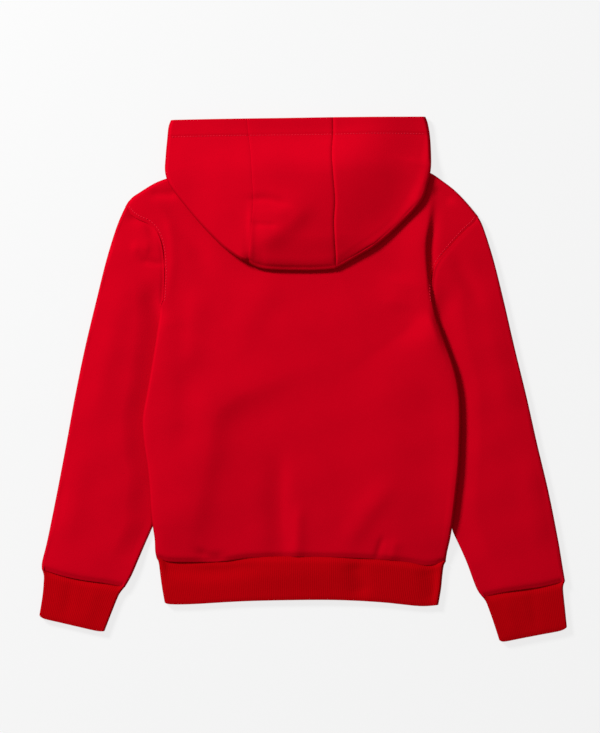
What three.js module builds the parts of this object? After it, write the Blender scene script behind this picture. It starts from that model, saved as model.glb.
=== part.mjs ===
// A child's pullover hoodie in brushed fleece, laid flat on its front with the hood turned back.
// Millimetres, +Z up: X runs across the garment, Y runs from the hem up to the hood.
// The origin is at the middle of the garment's reach, on the surface that it lies on.
import * as THREE from 'three';

// Driving dimensions
const fleeceWall = 2.2;
const ribWall = 2.6;
const seamGap = 0.3;
const armholeGap = 0.5;
const bandGap = 0.4;
const bodyHeight = 8;
const foldReach = 4;
const tuckedHeight = 5.4;
const bandHeight = 7.2;
const hoodHeight = 8;
const underarmY = 96;
const sideShare = 0.72;
const mouthSag = 4;

// How softly one form runs into the next: lengths in millimetres, shares of a piece's own length
const liftFade = 20;
const liftMargin = 3;
const foldFade = 16;
const sleeveRise = 16;
const tuckedRun = 18;
const cuffRun = { start: -240, end: -200 };
const underarmFade = 0.045;
const sleeveEdgeFade = 0.2;
const armholeHold = 3;
const cuffHold = 4;
const innerEdgeEase = 1.5;
const shoulderHold = 12;
const neckSquareness = 2.5;
const curveDivisions = 400;
const nearby = 0.001;

const fleece = { color: '#bf0218', roughness: 0.95, metalness: 0 };
const rib = { color: '#a80215', roughness: 0.9, metalness: 0 };

// The body's sides, a row for each height: both edges, how far each sleeve is tucked in under
// the body (less than nothing where it lies clear), and how far it lifts the body's edge
const bodySides = [
  { y: -231, left: -185.5, right: 181.5, tuckLeft: -24.0, tuckRight: -26.0, lift: 0 },
  { y: -220, left: -187.9, right: 183.2, tuckLeft: -17.3, tuckRight: -19.0, lift: 1 },
  { y: -205, left: -188.5, right: 186.6, tuckLeft: -10.0, tuckRight: -8.7, lift: 2.6 },
  { y: -192, left: -190.2, right: 188.8, tuckLeft: -2.9, tuckRight: -0.7, lift: 3.9 },
  { y: -184, left: -191.6, right: 190.2, tuckLeft: 0.8, tuckRight: 1.6, lift: 4.7 },
  { y: -165, left: -193.7, right: 192.6, tuckLeft: 3.2, tuckRight: 6.0, lift: 5.7 },
  { y: -140, left: -195.2, right: 195.6, tuckLeft: 6.5, tuckRight: 11.0, lift: 6 },
  { y: -110, left: -198.2, right: 198.6, tuckLeft: 11.5, tuckRight: 16.5, lift: 6 },
  { y: -80, left: -202.6, right: 200.0, tuckLeft: 18.0, tuckRight: 20.5, lift: 6 },
  { y: -52, left: -204.2, right: 200.5, tuckLeft: 21.0, tuckRight: 22.0, lift: 6 },
  { y: -20, left: -198.8, right: 199.2, tuckLeft: 17.0, tuckRight: 21.0, lift: 6 },
  { y: 10, left: -193.6, right: 193.5, tuckLeft: 12.5, tuckRight: 16.5, lift: 6 },
  { y: 45, left: -187.8, right: 181.3, tuckLeft: 6.8, tuckRight: 6.8, lift: 6 },
  { y: 60, left: -185.7, right: 176.2, tuckLeft: 2.0, tuckRight: 2.0, lift: 5.2 },
  { y: 76, left: -183.4, right: 171.0, tuckLeft: -0.5, tuckRight: -0.5, lift: 3.2 },
  { y: 86, left: -181.9, right: 168.6, tuckLeft: -0.5, tuckRight: -0.5, lift: 1.5 },
  { y: 96, left: -180.2, right: 166.5, tuckLeft: -0.5, tuckRight: -0.5, lift: 0 },
];

// The seam between body and hem band, left to right
const hemSeam = [
  { x: -187, y: -229 }, { x: -181, y: -229 }, { x: -172, y: -232 }, { x: -137, y: -232.8 },
  { x: -104, y: -232 }, { x: -66, y: -227.5 }, { x: 0, y: -226.3 }, { x: 77, y: -228.2 },
  { x: 131, y: -232.8 }, { x: 155, y: -237 }, { x: 168, y: -236 }, { x: 177, y: -233 },
  { x: 183, y: -233 },
];

// The garment's lower edge, left to right
const hemEdge = [
  { x: -176, y: -284.5 }, { x: -168, y: -286.6 }, { x: -140, y: -286.4 }, { x: -80, y: -283 },
  { x: -25, y: -281.5 }, { x: 40, y: -281.2 }, { x: 98, y: -284 }, { x: 148, y: -288.9 },
  { x: 172, y: -287.5 },
];

// The sides of the hem band below its seam
const bandLeft = [
  { x: -183.6, y: -234 }, { x: -181.5, y: -250 }, { x: -179.3, y: -266 }, { x: -176, y: -284.5 },
];
const bandRight = [
  { x: 178.9, y: -238 }, { x: 177, y: -252 }, { x: 175.5, y: -267 }, { x: 172, y: -287.5 },
];

// The top of the body, left to right: shoulder slope, neck point, neck point, shoulder slope
const leftShoulder = [
  { x: -226.2, y: 218.8 }, { x: -219.8, y: 228.5 }, { x: -207, y: 237.5 }, { x: -190, y: 248 },
  { x: -176.7, y: 253.6 }, { x: -133, y: 266.5 }, { x: -90, y: 278 },
];
const rightShoulder = [
  { x: 77.5, y: 279 }, { x: 120, y: 272 }, { x: 161, y: 262 }, { x: 175, y: 253.2 },
  { x: 194, y: 238.5 }, { x: 212, y: 219.5 }, { x: 222.8, y: 206.1 },
];
const backNeckDrop = 12;
const frontNeckDrop = 46;

// The armhole seams, from the shoulder tip to the underarm
const armholeLeft = [
  { x: -226.2, y: 218.8 }, { x: -219, y: 209.5 }, { x: -210, y: 203 }, { x: -199, y: 198.2 },
  { x: -191, y: 192 }, { x: -184.5, y: 181 }, { x: -180.6, y: 167 }, { x: -178.7, y: 150 },
  { x: -178.3, y: 127 }, { x: -180.2, y: 96 },
];
const armholeRight = [
  { x: 222.8, y: 206.1 }, { x: 219, y: 198.8 }, { x: 207, y: 187.8 }, { x: 193.3, y: 173.1 },
  { x: 182, y: 160 }, { x: 174, y: 149.5 }, { x: 169, y: 139.5 }, { x: 166.5, y: 127 },
  { x: 165.3, y: 112 }, { x: 166.5, y: 96 },
];

// The sleeves' outer edges from the shoulder tip down, and the stretch of their inner edges that
// shows below the body. Both end on the cuff's seam.
const sleeveOuterLeft = [
  { x: -226.7, y: 218.8 }, { x: -237.6, y: 191.5 }, { x: -250.1, y: 150.9 }, { x: -262.8, y: 100 },
  { x: -277.4, y: 39 }, { x: -289.9, y: -22 }, { x: -301.1, y: -83 }, { x: -312.7, y: -144 },
  { x: -325, y: -204.7 }, { x: -331.7, y: -232 },
];
const sleeveOuterRight = [
  { x: 223.3, y: 206.1 }, { x: 229.6, y: 191.5 }, { x: 242.3, y: 150.9 }, { x: 255, y: 100 },
  { x: 269.1, y: 39 }, { x: 284, y: -22 }, { x: 297.7, y: -83 }, { x: 312.2, y: -144 },
  { x: 324.3, y: -204.7 }, { x: 330.2, y: -240 },
];
const sleeveInnerLeft = [
  { x: -194.1, y: -194.6 }, { x: -200.8, y: -209.8 }, { x: -209.4, y: -230 },
  { x: -218.2, y: -250.4 },
];
const sleeveInnerRight = [
  { x: 190.5, y: -194.3 }, { x: 200, y: -214.9 }, { x: 208.8, y: -235.2 },
  { x: 220.2, y: -265.7 },
];

// The cuffs: seam and open end run from the outer edge to the inner one, the sides below the seam
const cuffSeamLeft = [
  { x: -332.2, y: -242.2 }, { x: -304.3, y: -250.7 }, { x: -280, y: -255.8 },
  { x: -253.6, y: -259.5 }, { x: -226.5, y: -265 },
];
const cuffSeamRight = [
  { x: 333.2, y: -257.3 }, { x: 305.3, y: -263.8 }, { x: 281.1, y: -267.3 },
  { x: 256.7, y: -270.9 }, { x: 228, y: -277.5 },
];
const cuffEndLeft = [
  { x: -335.3, y: -300.5 }, { x: -329, y: -305 }, { x: -308.7, y: -309.9 }, { x: -283, y: -315.9 },
  { x: -261.7, y: -320.6 }, { x: -252.5, y: -320.8 },
];
const cuffEndRight = [
  { x: 335.5, y: -315.5 }, { x: 327, y: -320.3 }, { x: 300.9, y: -325.4 }, { x: 275.5, y: -330.3 },
  { x: 256, y: -334 }, { x: 249.6, y: -332.5 },
];
const cuffOuterLeft = [
  { x: -330, y: -248.5 }, { x: -329.7, y: -256 }, { x: -331.4, y: -276 }, { x: -335.3, y: -300.5 },
];
const cuffOuterRight = [
  { x: 330.9, y: -263.5 }, { x: 331, y: -272 }, { x: 332.7, y: -288 }, { x: 335.5, y: -315.5 },
];
const cuffInnerLeft = [
  { x: -231.3, y: -270.5 }, { x: -235.2, y: -277 }, { x: -243, y: -296.2 }, { x: -252.5, y: -320.8 },
];
const cuffInnerRight = [
  { x: 232.2, y: -283 }, { x: 235.2, y: -290 }, { x: 242, y: -309 }, { x: 249.6, y: -332.5 },
];

// The hood's folded outline, from the crown seams out and up to the corners of the mouth
const hoodOutlineLeft = [
  { x: -69.2, y: 147.1 }, { x: -80.1, y: 151.5 }, { x: -102.1, y: 167.4 }, { x: -126.7, y: 192.2 },
  { x: -151.3, y: 221.4 }, { x: -169, y: 245.2 }, { x: -175.1, y: 262.6 }, { x: -174.6, y: 283 },
  { x: -172.8, y: 303.3 }, { x: -171, y: 320 }, { x: -168, y: 328.3 },
];
const hoodOutlineRight = [
  { x: 41.6, y: 139.2 }, { x: 53.8, y: 145.6 }, { x: 69.7, y: 154.7 }, { x: 93.9, y: 169.3 },
  { x: 123.7, y: 195.3 }, { x: 149.7, y: 223.3 }, { x: 158.6, y: 247.4 }, { x: 162.6, y: 272 },
  { x: 161.9, y: 303.3 }, { x: 159, y: 323 }, { x: 155.6, y: 332.8 },
];
const hoodCrown = [
  { x: -69.2, y: 147.1 }, { x: -60.5, y: 142 }, { x: -48, y: 138.8 }, { x: -28, y: 137.5 },
  { x: 8, y: 137 }, { x: 28, y: 137.8 }, { x: 41.6, y: 139.2 },
];
const hoodMouth = [
  { x: -168, y: 328.3 }, { x: -131, y: 329.2 }, { x: -71.5, y: 330.3 }, { x: 38, y: 332 },
  { x: 98, y: 333.1 }, { x: 155.6, y: 332.8 },
];

// The two seams of the hood's centre strip by height, on top and underneath
const hoodSeams = [
  { y: 137, left: -69.2, right: 41.6, underLeft: -69.2, underRight: 41.6 },
  { y: 156, left: -69.0, right: 41.3, underLeft: -69.1, underRight: 41.8 },
  { y: 176, left: -67.4, right: 40.0, underLeft: -68.3, underRight: 42.2 },
  { y: 200, left: -64.9, right: 39.2, underLeft: -67.2, underRight: 43.0 },
  { y: 226, left: -63.0, right: 40.6, underLeft: -65.4, underRight: 44.2 },
  { y: 255, left: -64.6, right: 38.4, underLeft: -63.2, underRight: 45.6 },
  { y: 287, left: -66.6, right: 36.4, underLeft: -62.0, underRight: 46.4 },
  { y: 310, left: -69.3, right: 38.1, underLeft: -62.0, underRight: 46.4 },
  { y: 333, left: -71.7, right: 38.1, underLeft: -62.0, underRight: 46.4 },
];

// The largest folds, a row for each: its two ends, its width and its height, less than nothing
// for a valley
const bodyFolds = [
  { x1: -190, y1: 219, x2: -130, y2: 156, width: 10, height: -1.2 },
  { x1: -166, y1: 190, x2: -164, y2: 125, width: 9, height: 1.2 },
  { x1: -160, y1: 85, x2: -176, y2: 37, width: 12, height: 1.2 },
  { x1: -99, y1: 37, x2: -118, y2: -59, width: 14, height: 1.6 },
  { x1: -61, y1: -20, x2: -112, y2: -55, width: 11, height: -1.2 },
  { x1: -114, y1: -70, x2: -125, y2: -154, width: 12, height: -1.3 },
  { x1: -60, y1: 112, x2: -17, y2: 76, width: 18, height: 1.1 },
  { x1: -36, y1: -128, x2: -52, y2: -215, width: 11, height: -1.4 },
  { x1: -4, y1: -165, x2: -17, y2: -218, width: 13, height: 1.4 },
  { x1: 104, y1: -135, x2: 66, y2: -186, width: 14, height: 1.5 },
  { x1: 110, y1: -190, x2: 95, y2: -218, width: 8, height: -1.3 },
  { x1: 130, y1: -20, x2: 132, y2: -120, width: 22, height: -1.1 },
  { x1: 150, y1: -27, x2: 168, y2: -90, width: 12, height: 1.4 },
  { x1: 154, y1: 200, x2: 150, y2: 125, width: 8, height: -1.3 },
];
const sleeveFolds = [
  { x1: -228, y1: 206, x2: -198, y2: 184, width: 7, height: -1.3 },
  { x1: -210, y1: 164, x2: -192, y2: 162, width: 8, height: 1.1 },
  { x1: -207, y1: 148, x2: -188, y2: 147, width: 6, height: -1.2 },
  { x1: -235, y1: 90, x2: -262, y2: -30, width: 14, height: 1.2 },
  { x1: -284, y1: -120, x2: -300, y2: -200, width: 14, height: 1.2 },
  { x1: 196, y1: 150, x2: 222, y2: 100, width: 10, height: -1.2 },
  { x1: 236, y1: 80, x2: 262, y2: -40, width: 14, height: 1.2 },
  { x1: 286, y1: -120, x2: 300, y2: -205, width: 14, height: 1.2 },
];
const hoodFolds = [
  { x1: -61, y1: 226, x2: -30, y2: 225, width: 6, height: -1.2 },
  { x1: -56, y1: 215, x2: -32, y2: 212, width: 8, height: 1.1 },
  { x1: 2, y1: 208, x2: -42, y2: 164, width: 11, height: -1.3 },
  { x1: 117, y1: 297, x2: 50, y2: 190, width: 20, height: -1.2 },
  { x1: -120, y1: 290, x2: -105, y2: 200, width: 26, height: 1.1 },
];

const { smoothstep } = THREE.MathUtils;
const mix = THREE.MathUtils.lerp;
const planPoint = (x, y) => new THREE.Vector2(x, y);

// A smooth value read from one column of a table whose key column rises
function column(rows, key, name) {
  const slope = (index) => {
    const before = rows[Math.max(index - 1, 0)];
    const after = rows[Math.min(index + 1, rows.length - 1)];
    return (after[name] - before[name]) / (after[key] - before[key]);
  };
  return (value) => {
    let index = rows.findIndex((row) => row[key] > value) - 1;
    if (index === -2) index = rows.length - 2;
    index = Math.max(index, 0);
    const start = rows[index];
    const end = rows[index + 1];
    const span = end[key] - start[key];
    const share = THREE.MathUtils.clamp((value - start[key]) / span, 0, 1);
    const squared = share * share;
    const cubed = squared * share;
    return start[name] * (2 * cubed - 3 * squared + 1) + end[name] * (3 * squared - 2 * cubed)
      + span * (slope(index) * (cubed - 2 * squared + share) + slope(index + 1) * (cubed - squared));
  };
}

// A curve in plan through a table's points, read by its share of length
function curve(rows, shiftX = 0) {
  const line = new THREE.SplineCurve(rows.map((row) => planPoint(row.x + shiftX, row.y)));
  line.arcLengthDivisions = curveDivisions;
  return (share) => line.getPointAt(share);
}

// The summed height of the folds near a point
function relief(folds, x, y) {
  const spot = new THREE.Vector3(x, y, 0);
  const nearest = new THREE.Vector3();
  return folds.reduce((total, fold) => {
    const line = new THREE.Line3(
      new THREE.Vector3(fold.x1, fold.y1, 0),
      new THREE.Vector3(fold.x2, fold.y2, 0),
    );
    line.closestPointToPoint(spot, true, nearest);
    const reach = nearest.distanceTo(spot) / fold.width;
    return total + fold.height * Math.exp(-reach * reach);
  }, 0);
}

// A patch in plan between four edges; the two cross edges lose their hold by the given powers
function patch(startEdge, endEdge, firstSide, lastSide, startHold = 1, endHold = 1) {
  const chord = (edge, u) => edge(0).lerp(edge(1), u);
  return (u, v) => {
    const start = startEdge(u).sub(chord(startEdge, u)).multiplyScalar((1 - v) ** startHold);
    const end = endEdge(u).sub(chord(endEdge, u)).multiplyScalar(v ** endHold);
    return firstSide(v).lerp(lastSide(v), u).add(start).add(end);
  };
}

// A wall of even thickness. Each grid node is its outer point and the direction to the inside.
// It is closed along its edges, or joined into a tube where it is a ring.
function wall(name, finish, grid, thickness, { outward, ring = false }) {
  const rowCount = grid.length;
  const columnCount = grid[0].length;
  const positions = [];
  for (const row of grid) row.forEach((node) => positions.push(...node.point.toArray()));
  for (const row of grid) {
    row.forEach((node) => {
      positions.push(...node.point.clone().addScaledVector(node.inward, thickness).toArray());
    });
  }
  const outer = (j, i) => j * columnCount + (i % columnCount);
  const inner = (j, i) => rowCount * columnCount + outer(j, i);
  const triangles = [];
  const quad = (a, b, c, d) => {
    if (outward > 0) triangles.push(a, b, c, a, c, d);
    else triangles.push(a, c, b, a, d, c);
  };
  const steps = ring ? columnCount : columnCount - 1;
  for (let j = 0; j < rowCount - 1; j += 1) {
    for (let i = 0; i < steps; i += 1) {
      quad(outer(j, i), outer(j, i + 1), outer(j + 1, i + 1), outer(j + 1, i));
      quad(inner(j, i), inner(j + 1, i), inner(j + 1, i + 1), inner(j, i + 1));
    }
  }
  const top = rowCount - 1;
  for (let i = 0; i < steps; i += 1) {
    quad(outer(0, i + 1), outer(0, i), inner(0, i), inner(0, i + 1));
    quad(outer(top, i), outer(top, i + 1), inner(top, i + 1), inner(top, i));
  }
  if (!ring) {
    for (let j = 0; j < top; j += 1) {
      quad(outer(j, 0), outer(j + 1, 0), inner(j + 1, 0), inner(j, 0));
      quad(outer(j + 1, steps), outer(j, steps), inner(j, steps), inner(j + 1, steps));
    }
  }
  const geometry = new THREE.BufferGeometry();
  geometry.setAttribute('position', new THREE.Float32BufferAttribute(positions, 3));
  geometry.setIndex(triangles);
  geometry.computeVertexNormals();
  const mesh = new THREE.Mesh(geometry, new THREE.MeshStandardMaterial(finish));
  mesh.name = name;
  return mesh;
}

// Angles round a rolled edge: a quarter turn from the edge itself up to the flat
const quarterTurn = Math.PI / 2;
const turnSteps = 3;
const quarterSteps = [0, 1, 2, 3].map((step) => (quarterTurn * step) / turnSteps);

// Shares along an armhole and across a sleeve, closer together at the rolled edges
const edgeRoll = 0.028;
const rollShares = quarterSteps.map((angle) => edgeRoll * (1 - Math.cos(angle)));
const middleShares = [0.16, 0.3, 0.44, 0.58, 0.72, 0.86];

const leftEdgeX = column(bodySides, 'y', 'left');
const rightEdgeX = column(bodySides, 'y', 'right');
const tuckLeft = column(bodySides, 'y', 'tuckLeft');
const tuckRight = column(bodySides, 'y', 'tuckRight');
const edgeLift = column(bodySides, 'y', 'lift');

// The body's top line at x: the shoulders, and between the neck points a dropped neckline
function bodyTop(neckDrop) {
  const left = column(leftShoulder, 'x', 'y');
  const right = column(rightShoulder, 'x', 'y');
  const neckStart = leftShoulder.at(-1);
  const neckEnd = rightShoulder[0];
  return (x) => {
    if (x <= neckStart.x) return left(x);
    if (x >= neckEnd.x) return right(x);
    const share = (x - neckStart.x) / (neckEnd.x - neckStart.x);
    const dip = 1 - Math.abs(2 * share - 1) ** neckSquareness;
    return mix(neckStart.y, neckEnd.y, share) - neckDrop * dip;
  };
}
const backTop = bodyTop(backNeckDrop);
const frontTop = bodyTop(frontNeckDrop);

// One side of the body: the side edge up to the underarm, then the armhole to the shoulder tip
function bodyBoundary(edgeX, hemCorner, armhole) {
  const seam = curve(armhole);
  return (v) => {
    if (v > sideShare) return seam((1 - v) / (1 - sideShare));
    const y = mix(hemCorner.y, underarmY, v / sideShare);
    return planPoint(edgeX(y), y);
  };
}

// The rows of both body panels: even steps up the side, then the armhole's own steps
const sideSteps = 17;
const bodyRows = [
  ...Array.from({ length: sideSteps }, (_, row) => (sideShare * row) / sideSteps),
  ...[...rollShares, ...middleShares, 1].reverse().map((share) => 1 - share * (1 - sideShare)),
];

// The hem seam from side to side, and the share of it that a rolled edge takes
const hemLeft = leftEdgeX(hemSeam[0].y);
const hemRight = rightEdgeX(hemSeam.at(-1).y);
const hemY = column(hemSeam, 'x', 'y');
const hemLine = (u) => planPoint(mix(hemLeft, hemRight, u), hemY(mix(hemLeft, hemRight, u)));
const hemRoll = foldReach / (hemRight - hemLeft);
const pastRoll = (u) => mix(hemRoll, 1 - hemRoll, u);

// A body panel: the back faces up, the front lies on the surface
function bodyPanel(name, isBack, middleColumns) {
  const topLine = isBack ? backTop : frontTop;
  const tipLeft = leftShoulder[0];
  const tipRight = rightShoulder.at(-1);
  const cornerLeft = hemLine(hemRoll).setX(hemLeft);
  const cornerRight = hemLine(1 - hemRoll).setX(hemRight);
  const bottom = (u) => planPoint(mix(hemLeft, hemRight, u), hemLine(pastRoll(u)).y);
  const top = (u) => {
    const x = mix(tipLeft.x, tipRight.x, u);
    return planPoint(x, topLine(x));
  };
  const left = bodyBoundary(leftEdgeX, cornerLeft, armholeLeft);
  const right = bodyBoundary(rightEdgeX, cornerRight, armholeRight);
  const plan = patch(bottom, top, left, right);
  const half = quarterSteps.length;
  const columns = [
    ...quarterSteps.map((angle) => ({ u: 0, side: 1, angle })),
    ...middleColumns.map((u) => ({ u, side: 0, angle: quarterTurn })),
    ...[...quarterSteps].reverse().map((angle) => ({ u: 1, side: -1, angle })),
  ];
  const topRollRow = bodyRows.length - half;
  const drop = foldReach - seamGap / 2;
  const grid = bodyRows.map((v, row) => {
    const topAngle = row < topRollRow ? quarterTurn : quarterSteps[bodyRows.length - 1 - row];
    const rolled = 1 - smoothstep(v, sideShare - underarmFade, sideShare);
    return columns.map(({ u, side, angle }) => {
      const spot = plan(u, v);
      const down = plan(u, v - nearby).sub(spot).normalize();
      const inset = foldReach * (side ? 1 - Math.cos(angle) : 1);
      const lineBefore = topLine(spot.x);
      spot.x += inset * (side || 1 - 2 * u);
      spot.y += (topLine(spot.x) - lineBefore) * v ** shoulderHold;
      const sideAngle = mix(quarterTurn, angle, rolled);
      const sideDrop = drop * rolled * (1 - Math.sin(angle));
      const topDrop = drop * (1 - Math.sin(topAngle));
      const raised = bodyLift(spot);
      const inward = new THREE.Vector3(
        side * Math.cos(sideAngle) + down.x * Math.cos(topAngle),
        down.y * Math.cos(topAngle),
        (isBack ? -1 : 1) * Math.sin(sideAngle) * Math.sin(topAngle),
      ).normalize();
      const rolledDown = Math.max(sideDrop, topDrop);
      const height = isBack
        ? bodyHeight + raised + bodyRelief(spot) - rolledDown
        : raised + rolledDown;
      return { point: new THREE.Vector3(spot.x, spot.y, height), inward };
    });
  });
  return wall(name, fleece, grid, fleeceWall, { outward: isBack ? 1 : -1 });
}

// How far the tucked sleeves raise the body at a point: most at its edges, nothing inside
function bodyLift(spot) {
  if (spot.y > underarmY) return 0;
  const sides = [
    { inside: spot.x - leftEdgeX(spot.y), tuck: tuckLeft(spot.y) },
    { inside: rightEdgeX(spot.y) - spot.x, tuck: tuckRight(spot.y) },
  ];
  return sides.reduce((total, { inside, tuck }) => {
    const start = Math.max(tuck + liftMargin, foldReach);
    return total + edgeLift(spot.y) * (1 - smoothstep(inside, start, start + liftFade));
  }, 0);
}

// The back's folds die out at its edges and under the hood
function bodyRelief(spot) {
  const inside = Math.min(spot.x - leftEdgeX(spot.y), rightEdgeX(spot.y) - spot.x);
  const nearHood = hoodCover(spot);
  return relief(bodyFolds, spot.x, spot.y) * smoothstep(inside, 0, foldFade) * (1 - nearHood);
}

// Nearly 1 where the hood lies over the body and 0 outside its outline. The hood's lower edge is
// level in the middle and climbs to its sides.
const hoodMiddleX = -6;
const hoodReach = { levelHalf: 40, slopeHalf: 170, lowY: 137, highY: 250 };
const hoodSides = { start: 158, end: 174 };
const coverFade = { start: -16, end: -2 };
function hoodCover(spot) {
  const across = Math.abs(spot.x - hoodMiddleX);
  const climb = smoothstep(across, hoodReach.levelHalf, hoodReach.slopeHalf);
  const lowEdge = mix(hoodReach.lowY, hoodReach.highY, climb);
  const within = 1 - smoothstep(across, hoodSides.start, hoodSides.end);
  return smoothstep(spot.y, lowEdge + coverFade.start, lowEdge + coverFade.end) * within;
}

// A closed tube laid flat: fold edges on both sides and an open end at the start and the finish
function flatTube(name, finish, shape) {
  const { plan, rows, middle, topHeight, outerRadius, innerRadius, thickness, outward } = shape;
  const underneath = shape.underneath ?? middle;
  const roll = shape.roll ?? edgeRoll;
  const firstShares = quarterSteps.map((angle) => roll * (1 - Math.cos(angle)));
  const lastShares = firstShares.map((share) => 1 - share).reverse();
  const turn = [...quarterSteps].reverse();
  const grid = rows.map((v) => {
    const first = outerRadius(v);
    const last = innerRadius(v);
    const node = (u, z, sideways, upward) => {
      const spot = plan(u, v);
      const across = plan(Math.min(u + nearby, 1), v).sub(plan(Math.min(u, 1 - nearby), v)).normalize();
      const inward = new THREE.Vector3(across.x * sideways, across.y * sideways, upward);
      return { point: new THREE.Vector3(spot.x, spot.y, z), inward };
    };
    return [
      ...quarterSteps.map((angle, index) => (
        node(firstShares[index], first * (1 + Math.sin(angle)), Math.cos(angle), -Math.sin(angle)))),
      ...middle.map((u) => node(u, topHeight(plan(u, v), u, v), 0, -1)),
      ...turn.map((angle, index) => (
        node(lastShares[index], last * (1 + Math.sin(angle)), -Math.cos(angle), -Math.sin(angle)))),
      ...turn.slice(0, -1).reverse().map((angle, index) => (
        node(lastShares.at(-2 - index), last * (1 - Math.sin(angle)), -Math.cos(angle), Math.sin(angle)))),
      ...[...underneath].reverse().map((u) => node(u, 0, 0, 1)),
      ...turn.slice(0, -1).map((angle, index) => (
        node(firstShares.at(-1 - index), first * (1 - Math.sin(angle)), Math.cos(angle), Math.sin(angle)))),
    ];
  });
  return wall(name, finish, grid, thickness, { outward, ring: true });
}

// The sleeve's hidden inner edge ends where it comes out from under the body
const tuckEndY = -190;
const sleeveRows = [0, 0.02, 0.05, 0.09, 0.13, 0.18, 0.24, 0.31, 0.38, 0.45, 0.52, 0.59, 0.66, 0.73,
  0.8, 0.86, 0.92, 0.97, 1];

// A sleeve: its ring starts at the armhole seam and its inner edge runs in under the body
function sleeve(name, side) {
  const isLeft = side === 'left';
  const edgeX = isLeft ? leftEdgeX : rightEdgeX;
  const tuck = isLeft ? tuckLeft : tuckRight;
  const inwards = isLeft ? 1 : -1;
  const hiddenInner = bodySides.filter((row) => row.y > tuckEndY).reverse().map((row) => (
    { x: edgeX(row.y) + inwards * tuck(row.y), y: row.y }));
  const seam = isLeft ? cuffSeamLeft : cuffSeamRight;
  const shownInner = isLeft ? sleeveInnerLeft : sleeveInnerRight;
  const inner = curve([...hiddenInner, ...shownInner, seam.at(-1)]);
  const outer = curve([...(isLeft ? sleeveOuterLeft : sleeveOuterRight), seam[0]]);
  const armhole = curve(isLeft ? armholeLeft : armholeRight, -inwards * armholeGap);
  const innerEdge = (v) => inner(v ** innerEdgeEase);
  const plan = patch(armhole, curve(seam), outer, innerEdge, armholeHold, cuffHold);
  const innerRadius = (v) => {
    const y = plan(1, v).y;
    const tucked = smoothstep(underarmY - y, 0, tuckedRun);
    const narrow = tucked * smoothstep(y, cuffRun.start, cuffRun.end);
    return mix(bodyHeight, tuckedHeight, narrow) / 2;
  };
  const topHeight = (spot, u, v) => {
    const edge = plan(1, v);
    const fromEdge = Math.abs(spot.x - edge.x);
    const reach = spot.y < underarmY ? Math.max(tuck(spot.y), 0) + foldReach : foldReach;
    const full = smoothstep(fromEdge, reach, reach + sleeveRise);
    const folds = relief(sleeveFolds, spot.x, spot.y) * full * smoothstep(u, 0, sleeveEdgeFade);
    return mix(2 * innerRadius(v), bodyHeight, full) + folds;
  };
  return flatTube(name, fleece, {
    plan,
    rows: sleeveRows,
    middle: middleShares,
    topHeight,
    outerRadius: () => bodyHeight / 2,
    innerRadius,
    thickness: fleeceWall,
    outward: isLeft ? -1 : 1,
  });
}

// A ribbed cuff or the hem band, from its seam to its open edge
const bandRows = [0, 0.1, 0.55, 1];
function ribbedBand(name, shape) {
  const { seamLine, end, outer, inner, middle, underneath, roll, outward } = shape;
  const side = (u, rows) => curve([seamLine(u).add(planPoint(0, -bandGap)), ...rows]);
  const plan = patch(seamLine, curve(end), side(0, outer), side(1, inner));
  return flatTube(name, rib, {
    plan,
    rows: bandRows,
    middle,
    underneath,
    roll,
    topHeight: () => bandHeight,
    outerRadius: () => bandHeight / 2,
    innerRadius: () => bandHeight / 2,
    thickness: ribWall,
    outward,
  });
}

// The hood lies on the body and, past the shoulders and the neck, on the surface
const hoodRest = bodyHeight + seamGap;
const underFall = { start: 5, end: 25 };
const topFall = { start: -20, end: 40 };
const sagHalfWidth = 125;
const sagRun = { start: 270, end: 325 };
const pastNeck = (x, y, fall) => smoothstep(y - backTop(x), fall.start, fall.end);
const hoodUnder = (x, y) => hoodRest * (1 - pastNeck(x, y, underFall));
function hoodTop(x, y) {
  const rise = hoodRest * (1 - pastNeck(x, y, topFall));
  const middle = Math.max(1 - ((x - hoodMiddleX) / sagHalfWidth) ** 2, 0) ** 2;
  const sag = mouthSag * middle * smoothstep(y, sagRun.start, sagRun.end);
  return rise + hoodHeight - sag + relief(hoodFolds, x, y);
}

// One node round a fold of the hood: the angle runs from a quarter turn on top to one below
function foldNode(tangent, direction, angle) {
  const high = hoodTop(tangent.x, tangent.y);
  const low = hoodUnder(tangent.x, tangent.y);
  const spot = tangent.clone().addScaledVector(direction, foldReach * Math.cos(angle));
  const height = (high + low) / 2 + ((high - low) / 2) * Math.sin(angle);
  const inward = new THREE.Vector3(
    -direction.x * Math.cos(angle),
    -direction.y * Math.cos(angle),
    -Math.sin(angle),
  );
  return { point: new THREE.Vector3(spot.x, spot.y, height), inward };
}
const topNode = (spot) => ({
  point: new THREE.Vector3(spot.x, spot.y, hoodTop(spot.x, spot.y)),
  inward: new THREE.Vector3(0, 0, -1),
});
const underNode = (spot) => ({
  point: new THREE.Vector3(spot.x, spot.y, hoodUnder(spot.x, spot.y)),
  inward: new THREE.Vector3(0, 0, 1),
});
const halfTurn = [2, 1, 0, -1, -2].map((step) => (quarterTurn * step) / turnSteps);
const crownRun = 2.4;
const napeGap = 0.5;

// The heights at which the hood's seams meet the crown, the nape and the mouth
const crownY = 140;
const napeSeamY = 270;
const mouthSeamY = 331;

// The hood's steps: ribs up a side, the share of them that meets the strip, and shares along them
const sideRibs = 15;
const neckShare = 0.62;
const sideTopShares = [0, 0.18, 0.36, 0.54, 0.72, 0.88, 1];
const sideUnderShares = [0, 0.25, 0.5, 0.75, 1];
const stripColumns = 6;
const stripTopShares = [0, 0.1, 0.2, 0.3, 0.4, 0.5, 0.6, 0.7, 0.8, 0.9, 1];
const stripUnderShares = [0, 0.2, 0.4, 0.6, 0.8, 1];

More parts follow.
